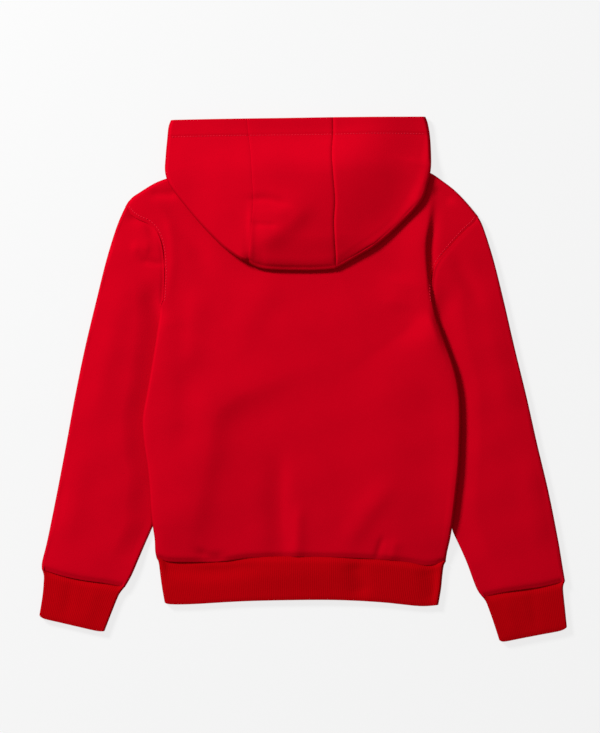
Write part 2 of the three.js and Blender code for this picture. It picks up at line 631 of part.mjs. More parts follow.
// A side panel of the hood: ribs from the strip's seam out over the fold and back underneath,
// where they end on the strip's lower seam and then on the neckline
function hoodSide(name, side) {
  const isLeft = side === 'left';
  const outwards = isLeft ? -1 : 1;
  const outline = curve(isLeft ? hoodOutlineLeft : hoodOutlineRight);
  const topSeam = column(hoodSeams, 'y', isLeft ? 'left' : 'right');
  const underSeam = column(hoodSeams, 'y', isLeft ? 'underLeft' : 'underRight');
  const neckPointX = isLeft ? leftShoulder.at(-1).x : rightShoulder[0].x;
  const mouthY = column(hoodMouth, 'x', 'y')(topSeam(mouthSeamY));
  const lowY = outline(0).y + foldReach + crownRun;
  const step = (outwards * seamGap) / 2;
  const napeY = backTop(underSeam(napeSeamY)) - napeGap;
  const grid = Array.from({ length: sideRibs }, (_, row) => {
    const v = row / (sideRibs - 1);
    const seamY = mix(lowY, mouthY, v);
    const start = planPoint(topSeam(seamY) + step, seamY);
    const fold = outline(v);
    if (row === 0) fold.x = start.x;
    const direction = fold.clone().sub(start).normalize();
    const tangent = fold.clone().addScaledVector(direction, -foldReach);
    const finishY = mix(lowY, napeY, Math.min(v / neckShare, 1));
    const finish = planPoint(underSeam(finishY) + step, finishY);
    if (v > neckShare) {
      finish.x = mix(finish.x, neckPointX, (v - neckShare) / (1 - neckShare));
      finish.y = backTop(finish.x) - napeGap;
    }
    return [
      ...sideTopShares.map((share) => topNode(start.clone().lerp(tangent, share))),
      ...halfTurn.map((angle) => foldNode(tangent, direction, angle)),
      ...sideUnderShares.map((share) => underNode(tangent.clone().lerp(finish, share))),
    ];
  });
  return wall(name, fleece, grid, fleeceWall, { outward: isLeft ? -1 : 1 });
}

// The centre strip: from the mouth over the crown and back underneath to the nape
function hoodStrip(name) {
  const seams = {
    left: column(hoodSeams, 'y', 'left'),
    right: column(hoodSeams, 'y', 'right'),
    underLeft: column(hoodSeams, 'y', 'underLeft'),
    underRight: column(hoodSeams, 'y', 'underRight'),
  };
  const crown = column(hoodCrown, 'x', 'y');
  const mouth = column(hoodMouth, 'x', 'y');
  const across = (first, last, u) => mix(first + seamGap / 2, last - seamGap / 2, u);
  const down = planPoint(0, -1);
  const lanes = Array.from({ length: stripColumns + 1 }, (_, index) => {
    const u = index / stripColumns;
    const foldY = crown(across(seams.left(crownY), seams.right(crownY), u)) + foldReach;
    const topY = mouth(across(seams.left(mouthSeamY), seams.right(mouthSeamY), u));
    const topSpot = (y) => planPoint(across(seams.left(y), seams.right(y), u), y);
    const underSpot = (y) => planPoint(across(seams.underLeft(y), seams.underRight(y), u), y);
    const napeX = across(seams.underLeft(napeSeamY), seams.underRight(napeSeamY), u);
    const napeY = backTop(napeX) - napeGap;
    return [
      ...stripTopShares.map((share) => topNode(topSpot(mix(topY, foldY, share)))),
      ...halfTurn.map((angle) => foldNode(topSpot(foldY), down, angle)),
      ...stripUnderShares.map((share) => underNode(underSpot(mix(foldY, napeY, share)))),
    ];
  });
  return wall(name, fleece, lanes, fleeceWall, { outward: 1 });
}

// Shares across the back and the front, closer together near the edges that the sleeves lift
const backColumns = [0.03, 0.06, 0.09, 0.12, 0.17, 0.23, 0.29, 0.35, 0.41, 0.47,
  0.53, 0.59, 0.65, 0.71, 0.77, 0.83, 0.88, 0.91, 0.94, 0.97];
const frontColumns = [0.03, 0.06, 0.09, 0.12, 0.2, 0.3, 0.34, 0.42, 0.49, 0.56, 0.64, 0.68, 0.8,
  0.88, 0.91, 0.94, 0.97];

const hoodie = new THREE.Group();
hoodie.name = 'kids_hoodie';
hoodie.add(
  bodyPanel('body_back', true, backColumns),
  bodyPanel('body_front', false, frontColumns),
  sleeve('sleeve_left', 'left'),
  sleeve('sleeve_right', 'right'),
  ribbedBand('cuff_left', {
    seamLine: curve(cuffSeamLeft),
    end: cuffEndLeft,
    outer: cuffOuterLeft,
    inner: cuffInnerLeft,
    middle: middleShares,
    outward: -1,
  }),
  ribbedBand('cuff_right', {
    seamLine: curve(cuffSeamRight),
    end: cuffEndRight,
    outer: cuffOuterRight,
    inner: cuffInnerRight,
    middle: middleShares,
    outward: 1,
  }),
  ribbedBand('hem_band', {
    seamLine: hemLine,
    end: hemEdge,
    outer: bandLeft,
    inner: bandRight,
    middle: backColumns.map(pastRoll),
    underneath: frontColumns.map(pastRoll),
    roll: hemRoll,
    outward: -1,
  }),
  hoodSide('hood_left', 'left'),
  hoodStrip('hood_centre'),
  hoodSide('hood_right', 'right'),
);

// The group is centred on the middle of its reach
const reach = new THREE.Box3().setFromObject(hoodie);
const middle = reach.getCenter(new THREE.Vector3());
hoodie.position.set(-middle.x, -middle.y, -reach.min.z);

export default hoodie;
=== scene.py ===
import math
import random
from collections import namedtuple

import bmesh
import bpy
import numpy as np
from mathutils import Matrix, Vector


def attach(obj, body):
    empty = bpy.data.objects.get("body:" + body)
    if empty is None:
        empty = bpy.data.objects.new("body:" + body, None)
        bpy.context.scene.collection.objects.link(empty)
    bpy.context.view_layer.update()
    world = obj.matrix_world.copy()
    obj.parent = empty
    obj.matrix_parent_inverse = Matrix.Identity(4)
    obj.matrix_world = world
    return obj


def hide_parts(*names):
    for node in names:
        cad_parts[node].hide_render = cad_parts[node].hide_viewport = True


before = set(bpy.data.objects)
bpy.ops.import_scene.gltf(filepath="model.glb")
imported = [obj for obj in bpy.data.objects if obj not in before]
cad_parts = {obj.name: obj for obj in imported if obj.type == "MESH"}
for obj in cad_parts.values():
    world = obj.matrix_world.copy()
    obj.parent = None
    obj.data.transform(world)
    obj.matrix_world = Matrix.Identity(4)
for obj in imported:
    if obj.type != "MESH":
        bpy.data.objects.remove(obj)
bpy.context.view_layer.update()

# Camera
# The hoodie is seen from straight above as it lies on a pale table. The picture's height is
# measured at the cloth's upper side, so the garment's outline falls where the photograph has it.
camera_height = 3.2
cloth_level = 0.008
picture_height = 0.9309
picture_centre = (-0.0040, 0.0160)
sensor_mm = 24

camera_data = bpy.data.cameras.new("camera")
camera_data.sensor_fit = "VERTICAL"
camera_data.sensor_height = sensor_mm
camera_data.lens = sensor_mm * (camera_height - cloth_level) / picture_height
camera = bpy.data.objects.new("camera", camera_data)
camera.location = (*picture_centre, camera_height)
bpy.context.scene.collection.objects.link(camera)
bpy.context.scene.camera = camera
bpy.context.scene.view_settings.view_transform = "Standard"

# Back panel
# One piece of brushed fleece from the hem seam to the neckline, with set-in armholes. It lies
# uppermost: its sides roll over to meet the front, and the tucked sleeves lift its edges. The
# folds are soft troughs and ridges set one by one where they show, and die out under the hood.
fleece_wall = 0.0022
seam_gap = 0.0003
body_thickness = 0.008
fold_reach = 0.004
underarm_y = 0.096
side_share = 0.72
lift_fade = 0.020
back_lift_fade = 0.140
lift_margin = 0.003
lift_onset = 0.030
fade_growth = 0.120
part_centring = np.array((-0.0001, 0.000446, 0.0))

Side = namedtuple("Side", "y left right tuck_left tuck_right lift")
body_sides = [
    Side(-0.231, -0.1855, 0.1815, -0.0240, -0.0260, 0.0),
    Side(-0.220, -0.1879, 0.1832, -0.0173, -0.0190, 0.001),
    Side(-0.205, -0.1885, 0.1866, -0.0100, -0.0087, 0.0026),
    Side(-0.192, -0.1902, 0.1888, -0.0029, -0.0007, 0.0039),
    Side(-0.184, -0.1916, 0.1902, 0.0008, 0.0016, 0.0047),
    Side(-0.165, -0.1937, 0.1926, 0.0032, 0.0060, 0.0057),
    Side(-0.140, -0.1952, 0.1956, 0.0065, 0.0110, 0.006),
    Side(-0.110, -0.1982, 0.1986, 0.0115, 0.0165, 0.006),
    Side(-0.080, -0.2026, 0.2000, 0.0180, 0.0205, 0.006),
    Side(-0.052, -0.2042, 0.2005, 0.0210, 0.0220, 0.006),
    Side(-0.020, -0.1988, 0.1992, 0.0170, 0.0210, 0.006),
    Side(0.010, -0.1936, 0.1935, 0.0125, 0.0165, 0.006),
    Side(0.045, -0.1878, 0.1813, 0.0068, 0.0068, 0.006),
    Side(0.060, -0.1857, 0.1762, 0.0020, 0.0020, 0.0052),
    Side(0.076, -0.1834, 0.1710, -0.0005, -0.0005, 0.0032),
    Side(0.086, -0.1819, 0.1686, -0.0005, -0.0005, 0.0015),
    Side(0.096, -0.1802, 0.1665, -0.0005, -0.0005, 0.0),
]

Spot = namedtuple("Spot", "x y")


def spots(*pairs):
    return [Spot(x, y) for x, y in pairs]


hem_seam = spots(
    (-0.187, -0.229), (-0.181, -0.229), (-0.172, -0.232), (-0.137, -0.2328), (-0.104, -0.232),
    (-0.066, -0.2275), (0.0, -0.2263), (0.077, -0.2282), (0.131, -0.2328), (0.155, -0.237),
    (0.168, -0.236), (0.177, -0.233), (0.183, -0.233),
)
left_shoulder = spots(
    (-0.2262, 0.2188), (-0.2198, 0.2285), (-0.207, 0.2375), (-0.190, 0.248),
    (-0.1767, 0.2536), (-0.133, 0.2665), (-0.090, 0.278),
)
right_shoulder = spots(
    (0.0775, 0.279), (0.120, 0.272), (0.161, 0.262), (0.175, 0.2532),
    (0.194, 0.2385), (0.212, 0.2195), (0.2228, 0.2061),
)
armhole_left = spots(
    (-0.2262, 0.2188), (-0.219, 0.2095), (-0.210, 0.203), (-0.199, 0.1982), (-0.191, 0.192),
    (-0.1845, 0.181), (-0.1806, 0.167), (-0.1787, 0.150), (-0.1783, 0.127), (-0.1802, 0.096),
)
armhole_right = spots(
    (0.2228, 0.2061), (0.219, 0.1988), (0.207, 0.1878), (0.1933, 0.1731), (0.182, 0.160),
    (0.174, 0.1495), (0.169, 0.1395), (0.1665, 0.127), (0.1653, 0.112), (0.1665, 0.096),
)
back_neck_drop = 0.012
front_neck_drop = 0.046
back_neck_squareness = 2.5
front_neck_squareness = 2.2


def smoothstep(value, start, end):
    share = np.clip((value - start) / (end - start), 0.0, 1.0)
    return share * share * (3.0 - 2.0 * share)


def mix(first, last, share):
    return first + (last - first) * share


def column(rows, key, name):
    """A smooth value read from one column of a table whose key column rises."""
    keys = np.array([getattr(row, key) for row in rows])
    values = np.array([getattr(row, name) for row in rows])
    before = np.maximum(np.arange(len(rows)) - 1, 0)
    after = np.minimum(np.arange(len(rows)) + 1, len(rows) - 1)
    slopes = (values[after] - values[before]) / (keys[after] - keys[before])

    def read(value):
        at = np.clip(np.searchsorted(keys, value, side="right") - 1, 0, len(keys) - 2)
        span = keys[at + 1] - keys[at]
        share = np.clip((value - keys[at]) / span, 0.0, 1.0)
        squared = share * share
        cubed = squared * share
        return (values[at] * (2 * cubed - 3 * squared + 1) + values[at + 1] * (3 * squared - 2 * cubed)
                + span * (slopes[at] * (cubed - 2 * squared + share) + slopes[at + 1] * (cubed - squared)))

    return read


curve_stops = 40


def curve(rows):
    """A smooth line in plan through a table's points, read by its share of length."""
    points = np.array([(row[0], row[1]) for row in rows])
    held = np.vstack((points[:1], points, points[-1:]))
    steps = np.linspace(0.0, len(points) - 1, curve_stops * len(points))
    at = np.minimum(steps.astype(int), len(points) - 2)
    t = (steps - at)[:, None]
    first, start, end, last = held[at], held[at + 1], held[at + 2], held[at + 3]
    leave = (end - first) / 2
    arrive = (last - start) / 2
    line = ((2 * start - 2 * end + leave + arrive) * t ** 3
            + (3 * end - 3 * start - 2 * leave - arrive) * t ** 2 + leave * t + start)
    walked = np.concatenate(([0.0], np.cumsum(np.hypot(*np.diff(line, axis=0).T))))

    def read(share):
        length = np.asarray(share) * walked[-1]
        return np.stack((np.interp(length, walked, line[:, 0]),
                         np.interp(length, walked, line[:, 1])), axis=-1)

    return read


def patch(start_edge, end_edge, first_side, last_side, start_hold=1.0, end_hold=1.0):
    """A patch in plan between four edges. The two cross edges lose their hold by their powers."""
    def chord(edge, u):
        return mix(edge(0.0), edge(1.0), u[..., None])

    def plan(u, v):
        start = (start_edge(u) - chord(start_edge, u)) * ((1.0 - v) ** start_hold)[..., None]
        end = (end_edge(u) - chord(end_edge, u)) * (v ** end_hold)[..., None]
        return mix(first_side(v), last_side(v), u[..., None]) + start + end

    return plan


Fold = namedtuple("Fold", "right_width left_width height path")
fold_run_out = 0.35
fold_taper = 0.32
fold_stops = 25
fold_blend = 0.12


def nearest_on(path, x, y):
    """How far each place is from a line of straight stretches, and whether it is on its left."""
    nearest = np.full(np.shape(x), np.inf)
    on_left = np.zeros(np.shape(x), bool)
    for (x1, y1), (x2, y2) in zip(path, path[1:]):
        squared = (x2 - x1) ** 2 + (y2 - y1) ** 2
        along = np.clip(((x - x1) * (x2 - x1) + (y - y1) * (y2 - y1)) / squared, 0.0, 1.0)
        away = np.hypot(x - mix(x1, x2, along), y - mix(y1, y2, along))
        turned = (x2 - x1) * (y - y1) - (y2 - y1) * (x - x1)
        on_left = np.where(away < nearest, turned > 0.0, on_left)
        nearest = np.minimum(nearest, away)
    return nearest, on_left


def distance(path, x, y):
    return nearest_on(path, x, y)[0]


def share_along(stops, length, x, y):
    """The share of a line's length that each place lies beside, blended where the line bends."""
    reach = (fold_blend * length) ** 2
    squared = np.array([(x - stop[0]) ** 2 + (y - stop[1]) ** 2 for stop in stops])
    weights = np.exp(-(squared - squared.min(axis=0)) / reach)
    shares = np.linspace(0.0, 1.0, len(stops)).reshape((-1,) + (1,) * np.ndim(x))
    return (weights * shares).sum(axis=0) / weights.sum(axis=0)


def run_out(path):
    """The same line made longer at both ends, where the fold dies out."""
    extra = fold_run_out * sum(math.dist(first, last) for first, last in zip(path, path[1:]))
    ends = []
    for last, before in ((path[0], path[1]), (path[-1], path[-2])):
        share = extra / math.dist(last, before)
        ends.append((last[0] + (last[0] - before[0]) * share, last[1] + (last[1] - before[1]) * share))
    return [ends[0], *path, ends[1]]


def relief(folds, x, y):
    """The summed height of the folds at each place.

    A fold dies out towards its two ends. It has one width on the right hand and one on the left
    of its line, so that it can be steep on one side.
    """
    total = np.zeros(np.shape(x))
    for fold in folds:
        stops = curve(run_out(fold.path))(np.linspace(0.0, 1.0, fold_stops))
        length = np.hypot(*np.diff(stops, axis=0).T).sum()
        away, on_left = nearest_on([tuple(stop) for stop in stops], x, y)
        width = np.where(on_left, fold.left_width, fold.right_width)
        share = share_along(stops, length, x, y)
        full = smoothstep(share, 0.0, fold_taper) * smoothstep(1.0 - share, 0.0, fold_taper)
        total += fold.height * full * np.exp(-(away / width) ** 2)
    return total


back_folds = [
    Fold(0.0400, 0.0200, 0.0027, [(-0.0497, -0.0041), (-0.0903, -0.0218), (-0.1144, -0.0460),
                                   (-0.1246, -0.1069), (-0.1436, -0.1844)]),
    Fold(0.0170, 0.0120, -0.0027, [(-0.0306, -0.1158), (-0.0306, -0.1666), (-0.0281, -0.2250)]),
    Fold(0.0070, 0.0090, 0.0013, [(-0.0052, -0.1692), (-0.0077, -0.2225)]),
    Fold(0.0160, 0.0140, 0.0017, [(0.1040, -0.1412), (0.0799, -0.1730), (0.0596, -0.2047)]),
    Fold(0.0040, 0.0050, -0.0012, [(0.1002, -0.2047), (0.0939, -0.2250)]),
    Fold(0.0060, 0.0070, 0.0008, [(0.1167, -0.2085), (0.1129, -0.2276)]),
    Fold(0.0400, 0.0260, -0.0032, [(0.1535, -0.0168), (0.1637, -0.0650),
                                   (0.1662, -0.1158), (0.1612, -0.1793)]),
    Fold(0.0180, 0.0220, -0.0016, [(-0.1462, 0.0086), (-0.1487, -0.0777)]),
    Fold(0.0260, 0.0040, 0.0046, [(0.1586, 0.1966), (0.1548, 0.1636),
                                   (0.1586, 0.1128), (0.1701, 0.0620)]),
    Fold(0.0040, 0.0070, -0.0026, [(0.1650, 0.1941), (0.1612, 0.1712),
                                   (0.1624, 0.1420), (0.1688, 0.1077)]),
    Fold(0.0120, 0.0160, 0.0012, [(-0.1360, 0.1001), (-0.1411, 0.0264)]),
    Fold(0.0220, 0.0220, 0.0016, [(-0.0446, 0.1128), (-0.0801, 0.0594)]),
    Fold(0.0200, 0.0200, 0.0016, [(0.1256, 0.1255), (0.1180, 0.0925)]),
    Fold(0.0060, 0.0060, -0.0019, [(-0.1309, -0.2212), (-0.1182, -0.2263), (-0.1030, -0.2263)]),
    Fold(0.0050, 0.0080, 0.0008, [(-0.1817, 0.2169), (-0.1703, 0.1953),
                                   (-0.1665, 0.1572), (-0.1703, 0.1128)]),
    Fold(0.0060, 0.0060, -0.0015, [(-0.1906, 0.2347), (-0.1640, 0.2347)]),
    Fold(0.0140, 0.0140, -0.0024, [(-0.1817, 0.2106), (-0.1614, 0.1991),
                                   (-0.1411, 0.1763), (-0.1259, 0.1483)]),
    Fold(0.0070, 0.0070, -0.0018, [(0.1675, 0.2398), (0.1866, 0.2271)]),
]

left_edge = column(body_sides, "y", "left")
right_edge = column(body_sides, "y", "right")
tuck_left = column(body_sides, "y", "tuck_left")
tuck_right = column(body_sides, "y", "tuck_right")
edge_lift = column(body_sides, "y", "lift")


def body_top(neck_drop, squareness):
    """The body's top line: both shoulders and the dropped neckline between the neck points."""
    left = column(left_shoulder, "x", "y")
    right = column(right_shoulder, "x", "y")
    neck_start = left_shoulder[-1]
    neck_end = right_shoulder[0]

    def read(x):
        share = np.clip((x - neck_start.x) / (neck_end.x - neck_start.x), 0.0, 1.0)
        dip = 1.0 - np.abs(2.0 * share - 1.0) ** squareness
        neckline = mix(neck_start.y, neck_end.y, share) - neck_drop * dip
        return np.where(x <= neck_start.x, left(x), np.where(x >= neck_end.x, right(x), neckline))

    return read


back_top = body_top(back_neck_drop, back_neck_squareness)
front_top = body_top(front_neck_drop, front_neck_squareness)


def body_boundary(edge, hem_corner_y, armhole):
    """One side of the body: the side edge up to the underarm, then the armhole to the tip."""
    seam = curve(armhole)

    def read(v):
        v = np.asarray(v, float)
        y = mix(hem_corner_y, underarm_y, np.minimum(v / side_share, 1.0))
        side = np.stack((edge(y), y), axis=-1)
        hole = seam((1.0 - np.maximum(v, side_share)) / (1.0 - side_share))
        return np.where((v > side_share)[..., None], hole, side)

    return read


hem_left = float(left_edge(hem_seam[0].y))
hem_right = float(right_edge(hem_seam[-1].y))
hem_y = column(hem_seam, "x", "y")
hem_roll = fold_reach / (hem_right - hem_left)


def hem_line(u):
    x = mix(hem_left, hem_right, np.asarray(u, float))
    return np.stack((x, hem_y(x)), axis=-1)


def past_roll(u):
    return mix(hem_roll, 1.0 - hem_roll, u)


def body_lift(x, y, fade):
    """How far the tucked sleeves raise the body: most at its edges, nothing inside."""
    total = np.zeros(np.shape(x))
    for inside, tuck in ((x - left_edge(y), tuck_left(y)), (right_edge(y) - x, tuck_right(y))):
        start = np.maximum(tuck + lift_margin, fold_reach)
        total += edge_lift(y) * (1.0 - smoothstep(inside, start, start + fade))
    return total * smoothstep(underarm_y - y, 0.0, lift_onset)


def back_lift(x, y):
    """The back's own lift, which reaches further inwards the further it is below the underarm."""
    return body_lift(x, y, mix(lift_fade, back_lift_fade, smoothstep(underarm_y - y, 0.0, fade_growth)))


cover_middle_x = -0.006
cover_low_y = 0.137
cover_high_y = 0.250
cover_slant = (0.040, 0.170)
cover_edge_fade = (-0.010, 0.004)
cover_side_fade = (0.164, 0.178)


def hood_cover(x, y):
    """Nearly 1 where the hood lies over the body and 0 outside its outline."""
    across = np.abs(x - cover_middle_x)
    low_edge = mix(cover_low_y, cover_high_y, smoothstep(across, *cover_slant))
    return smoothstep(y - low_edge, *cover_edge_fade) * (1.0 - smoothstep(across, *cover_side_fade))


seam_width = 0.0022
seam_depth = 0.00045
edge_slope = 0.009
edge_ease = 0.0011
underarm_ease = 0.030
side_fold_fade = 0.012
shoulder_fold_fade = 0.008
hem_groove_depth = 0.0022
hem_groove_width = 0.0040
body_ripple = 0.00015
body_swell = 0.0020
swell_roll = 0.009
swell_top_y = 0.140
swell_fade = 0.100
swell_across = (-0.190, 0.020)

Wave = namedtuple("Wave", "across up shift")
body_waves = [
    Wave(71, 43, 0.0),
    Wave(-31, 97, 1.3),
]


def rippled(height, waves, x, y):
    """A faint unevenness: the sum of a few slow waves."""
    return height * sum(np.sin(wave.across * x + wave.up * y + wave.shift) for wave in waves)


def rolled_off(inside, run):
    """The share of its height that a swollen edge loses: all at the edge, nothing past the run."""
    near = np.clip(1.0 - inside / run, 0.0, 1.0)
    return 1.0 - np.sqrt(1.0 - near * near)


def body_relief(x, y):
    """The back's folds, its sunk seams and the slope towards its edges."""
    from_side = np.minimum(x - left_edge(y), right_edge(y) - x)
    side_held = 1.0 - smoothstep(y, underarm_y - underarm_ease, underarm_y)
    holes = np.minimum(distance(armhole_left, x, y), distance(armhole_right, x, y))
    from_hem = y - hem_y(x)
    shoulder_gap = back_top(x) - y
    open_cloth = 1.0 - hood_cover(x, y)
    away = mix(1.0, smoothstep(from_side, 0.0, side_fold_fade), side_held)
    away *= smoothstep(shoulder_gap, 0.0, shoulder_fold_fade)
    grooves = seam_depth * np.exp(-(holes / seam_width) ** 2)
    grooves += hem_groove_depth * np.exp(-(from_hem / hem_groove_width) ** 2)
    slope = edge_ease * (side_held * np.exp(-from_side / edge_slope) + np.exp(-shoulder_gap / edge_slope))
    ripple = rippled(body_ripple, body_waves, x, y)
    swell = body_swell * smoothstep(swell_top_y - y, 0.0, swell_fade)
    swell *= smoothstep(from_hem, 0.0, swell_fade) * smoothstep(x, *swell_across)
    swell *= 1.0 - rolled_off(right_edge(y) - x, swell_roll)
    return (relief(back_folds, x, y) + ripple) * away * open_cloth + swell - (grooves + slope) * open_cloth


quarter_turn = math.pi / 2
roll_steps = 7
quarter_steps = np.linspace(0.0, quarter_turn, roll_steps)
roll_fade_share = 0.045
shoulder_roll = 0.0079
shoulder_hold = 12


def body_places(is_back, middle_columns, row_shares):
    """Rows of places over a body panel, with its side edges and its shoulder line rolled over."""
    top_line = back_top if is_back else front_top
    corner_left = float(hem_line(hem_roll)[1])
    corner_right = float(hem_line(1.0 - hem_roll)[1])

    def bottom(u):
        x = mix(hem_left, hem_right, np.asarray(u, float))
        return np.stack((x, hem_line(past_roll(np.asarray(u, float)))[..., 1]), axis=-1)

    def top(u):
        x = mix(left_shoulder[0].x, right_shoulder[-1].x, np.asarray(u, float))
        return np.stack((x, top_line(x)), axis=-1)

    plan = patch(bottom, top, body_boundary(left_edge, corner_left, armhole_left),
                 body_boundary(right_edge, corner_right, armhole_right))
    edge_turns = len(quarter_steps)
    u = np.concatenate((np.zeros(edge_turns), middle_columns, np.ones(edge_turns)))
    side = np.concatenate((np.ones(edge_turns), np.zeros(len(middle_columns)), -np.ones(edge_turns)))
    flat = np.full(len(middle_columns), quarter_turn)
    angle = np.concatenate((quarter_steps, flat, quarter_steps[::-1]))
    top_roll = np.arccos(np.clip(1.0 - (1.0 - row_shares) / shoulder_roll, 0.0, 1.0))
    uu, vv = np.meshgrid(u, row_shares)
    place = plan(uu, vv)
    inset = fold_reach * np.where(side, 1.0 - np.cos(angle), 1.0)
    x = place[..., 0] + inset * np.where(side, side, 1.0 - 2.0 * u)
    y = place[..., 1] + (top_line(x) - top_line(place[..., 0])) * vv ** shoulder_hold
    rolled = 1.0 - smoothstep(vv, side_share - roll_fade_share, side_share)
    drop = fold_reach - seam_gap / 2
    side_drop = drop * rolled * (1.0 - np.sin(angle))
    top_drop = drop * (1.0 - np.sin(top_roll))[:, None]
    down = np.maximum(side_drop, top_drop)
    if is_back:
        height = body_thickness + back_lift(x, y) + body_relief(x, y) - down
    else:
        height = body_lift(x, y, lift_fade) + down
    return np.stack((x, y, height), axis=-1)


def spaced_rows(count):
    """Rows up a body panel, even up the sides and closer together where the shoulders roll."""
    rolled = 1.0 - shoulder_roll * (1.0 - np.cos(quarter_steps))
    return np.concatenate((np.linspace(0.0, rolled[-1], count)[:-1], rolled[::-1]))


fleece_roughness = 0.95
fleece_sheen = 0.10
sheen_roughness = 0.45
sheen_tint = (0.90, 0.004, 0.03, 1.0)
cloud_scale = 34.0
cloud_detail = 5.0
cloud_roughness = 0.62
cloud_range = (0.30, 0.70)
cloud_tones = (0.975, 1.02)
pile_scale = 900.0
pile_detail = 3.0
pile_strength = 0.35
# Painted shade on rolled edges: the colour darkens over this range of turning, down to this share.
shade_turn_range = (0.05, 0.50)
painted_edge_shade = 0.66


def fleece_finish(name, color, nap):
    """Brushed fleece: a matt knit with a fine nap, a little uneven, and a soft sheen.

    Its colour is darkened where the cloth turns over: painted shade that dims the lit rolled edges.
    """
    material = bpy.data.materials.new(name)
    material.use_nodes = True
    nodes = material.node_tree.nodes
    links = material.node_tree.links
    shader = nodes["Principled BSDF"]
    shader.inputs["Roughness"].default_value = fleece_roughness
    shader.inputs["Specular IOR Level"].default_value = 0.0
    shader.inputs["Sheen Weight"].default_value = fleece_sheen
    shader.inputs["Sheen Roughness"].default_value = sheen_roughness
    shader.inputs["Sheen Tint"].default_value = sheen_tint
    coordinates = nodes.new("ShaderNodeTexCoord")
    cloud = nodes.new("ShaderNodeTexNoise")
    cloud.inputs["Scale"].default_value = cloud_scale
    cloud.inputs["Detail"].default_value = cloud_detail
    cloud.inputs["Roughness"].default_value = cloud_roughness
    tone = nodes.new("ShaderNodeValToRGB")
    for stop, position, share in zip(tone.color_ramp.elements, cloud_range, cloud_tones):
        stop.position = position
        stop.color = (*(channel * share for channel in color), 1.0)
    pile = nodes.new("ShaderNodeTexNoise")
    pile.inputs["Scale"].default_value = pile_scale
    pile.inputs["Detail"].default_value = pile_detail
    bump = nodes.new("ShaderNodeBump")
    bump.inputs["Strength"].default_value = pile_strength
    bump.inputs["Distance"].default_value = nap
    links.new(coordinates.outputs["Object"], cloud.inputs["Vector"])
    links.new(coordinates.outputs["Object"], pile.inputs["Vector"])
    links.new(cloud.outputs["Fac"], tone.inputs["Fac"])
    # Painted shade: the colour is scaled down where the cloth turns from lying flat.
    turned = nodes.new("ShaderNodeAttribute")
    turned.attribute_name = "turned"
    edge_darkening = nodes.new("ShaderNodeMapRange")
    edge_darkening.inputs["From Min"].default_value = shade_turn_range[0]
    edge_darkening.inputs["From Max"].default_value = shade_turn_range[1]
    edge_darkening.inputs["To Min"].default_value = 1.0
    edge_darkening.inputs["To Max"].default_value = painted_edge_shade
    shade = nodes.new("ShaderNodeVectorMath")
    shade.operation = "SCALE"
    links.new(turned.outputs["Fac"], edge_darkening.inputs["Value"])
    links.new(edge_darkening.outputs["Result"], shade.inputs["Scale"])
    links.new(tone.outputs["Color"], shade.inputs[0])
    links.new(shade.outputs["Vector"], shader.inputs["Base Color"])
    links.new(pile.outputs["Fac"], bump.inputs["Height"])
    links.new(bump.outputs["Normal"], shader.inputs["Normal"])
    return material


fleece_color = (0.500, 0.0004, 0.0088)
fleece_nap = 0.0005
fleece = fleece_finish("red fleece", fleece_color, fleece_nap)

rim_radius = 0.0004
rim_segments = 2
rim_angle = math.radians(60)
merge_distance = 0.00001


def cloth(name, places, material, wall, ring=False, facing=1):
    """A piece of cloth: a grid laid on rows of places, given its wall inwards and round rims.

    A ring is closed round its first and last column. facing turns the outer side over. The mesh
    keeps how far each place is turned from lying flat, from which the finish paints shade on the
    rolled edges.
    """
    rows, columns = places.shape[:2]
    bm = bmesh.new()
    grain = bm.loops.layers.uv.new("grain")
    turned = bm.verts.layers.float.new("turned")
    bmesh.ops.create_grid(bm, x_segments=columns - 1, y_segments=rows - 1, size=0.5)
    along = np.concatenate((np.zeros((rows, 1)), np.cumsum(
        np.linalg.norm(np.diff(places, axis=1), axis=2), axis=1)), axis=1)
    along = along / along[:, -1:] * along[:, -1].mean()
    up = np.concatenate((np.zeros((1, columns)), np.cumsum(
        np.linalg.norm(np.diff(places, axis=0), axis=2), axis=0)), axis=0)
    for face in bm.faces:
        face.smooth = True
        for loop in face.loops:
            at = round((loop.vert.co.x + 0.5) * (columns - 1))
            row = round((loop.vert.co.y + 0.5) * (rows - 1))
            loop[grain].uv = (along[row, at], up[row, at])
    for vert in bm.verts:
        at = round((vert.co.x + 0.5) * (columns - 1))
        row = round((vert.co.y + 0.5) * (rows - 1))
        vert.co = places[row, at] + part_centring
    if ring:
        bmesh.ops.remove_doubles(bm, verts=bm.verts, dist=merge_distance)
    if facing < 0:
        bmesh.ops.reverse_faces(bm, faces=bm.faces)
    bm.normal_update()
    # How far each place is turned, read by the finish to paint shade on rolled edges.
    for vert in bm.verts:
        vert[turned] = 1.0 - abs(vert.normal.z)
    mesh = bpy.data.meshes.new(name)
    bm.to_mesh(mesh)
    bm.free()
    mesh.materials.append(material)
    piece = bpy.data.objects.new(name, mesh)
    bpy.context.scene.collection.objects.link(piece)
    thickness = piece.modifiers.new("wall", "SOLIDIFY")
    thickness.thickness = wall
    thickness.offset = -1.0
    rim = piece.modifiers.new("rim", "BEVEL")
    rim.limit_method = "ANGLE"
    rim.angle_limit = rim_angle
    rim.width = rim_radius
    rim.segments = rim_segments
    rim.profile = 0.5
    return piece


def declare(piece, node):
    """Hides the imported part of the node and ties the piece of cloth to the root."""
    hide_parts(node)
    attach(piece, "root")


back_columns = np.linspace(0.012, 0.988, 170)
back_rows = spaced_rows(228)
back = cloth("back_panel", body_places(True, back_columns, back_rows), fleece, fleece_wall)

# Front panel
# The same fleece, cut with a lower neckline. It lies on the table under everything else, so only
# its rolled edges show, and it is finished plainly.
front_columns = np.linspace(0.02, 0.98, 88)
front_rows = spaced_rows(120)
front = cloth("front_panel", body_places(False, front_columns, front_rows), fleece, fleece_wall, facing=-1)
declare(front, "body_front")

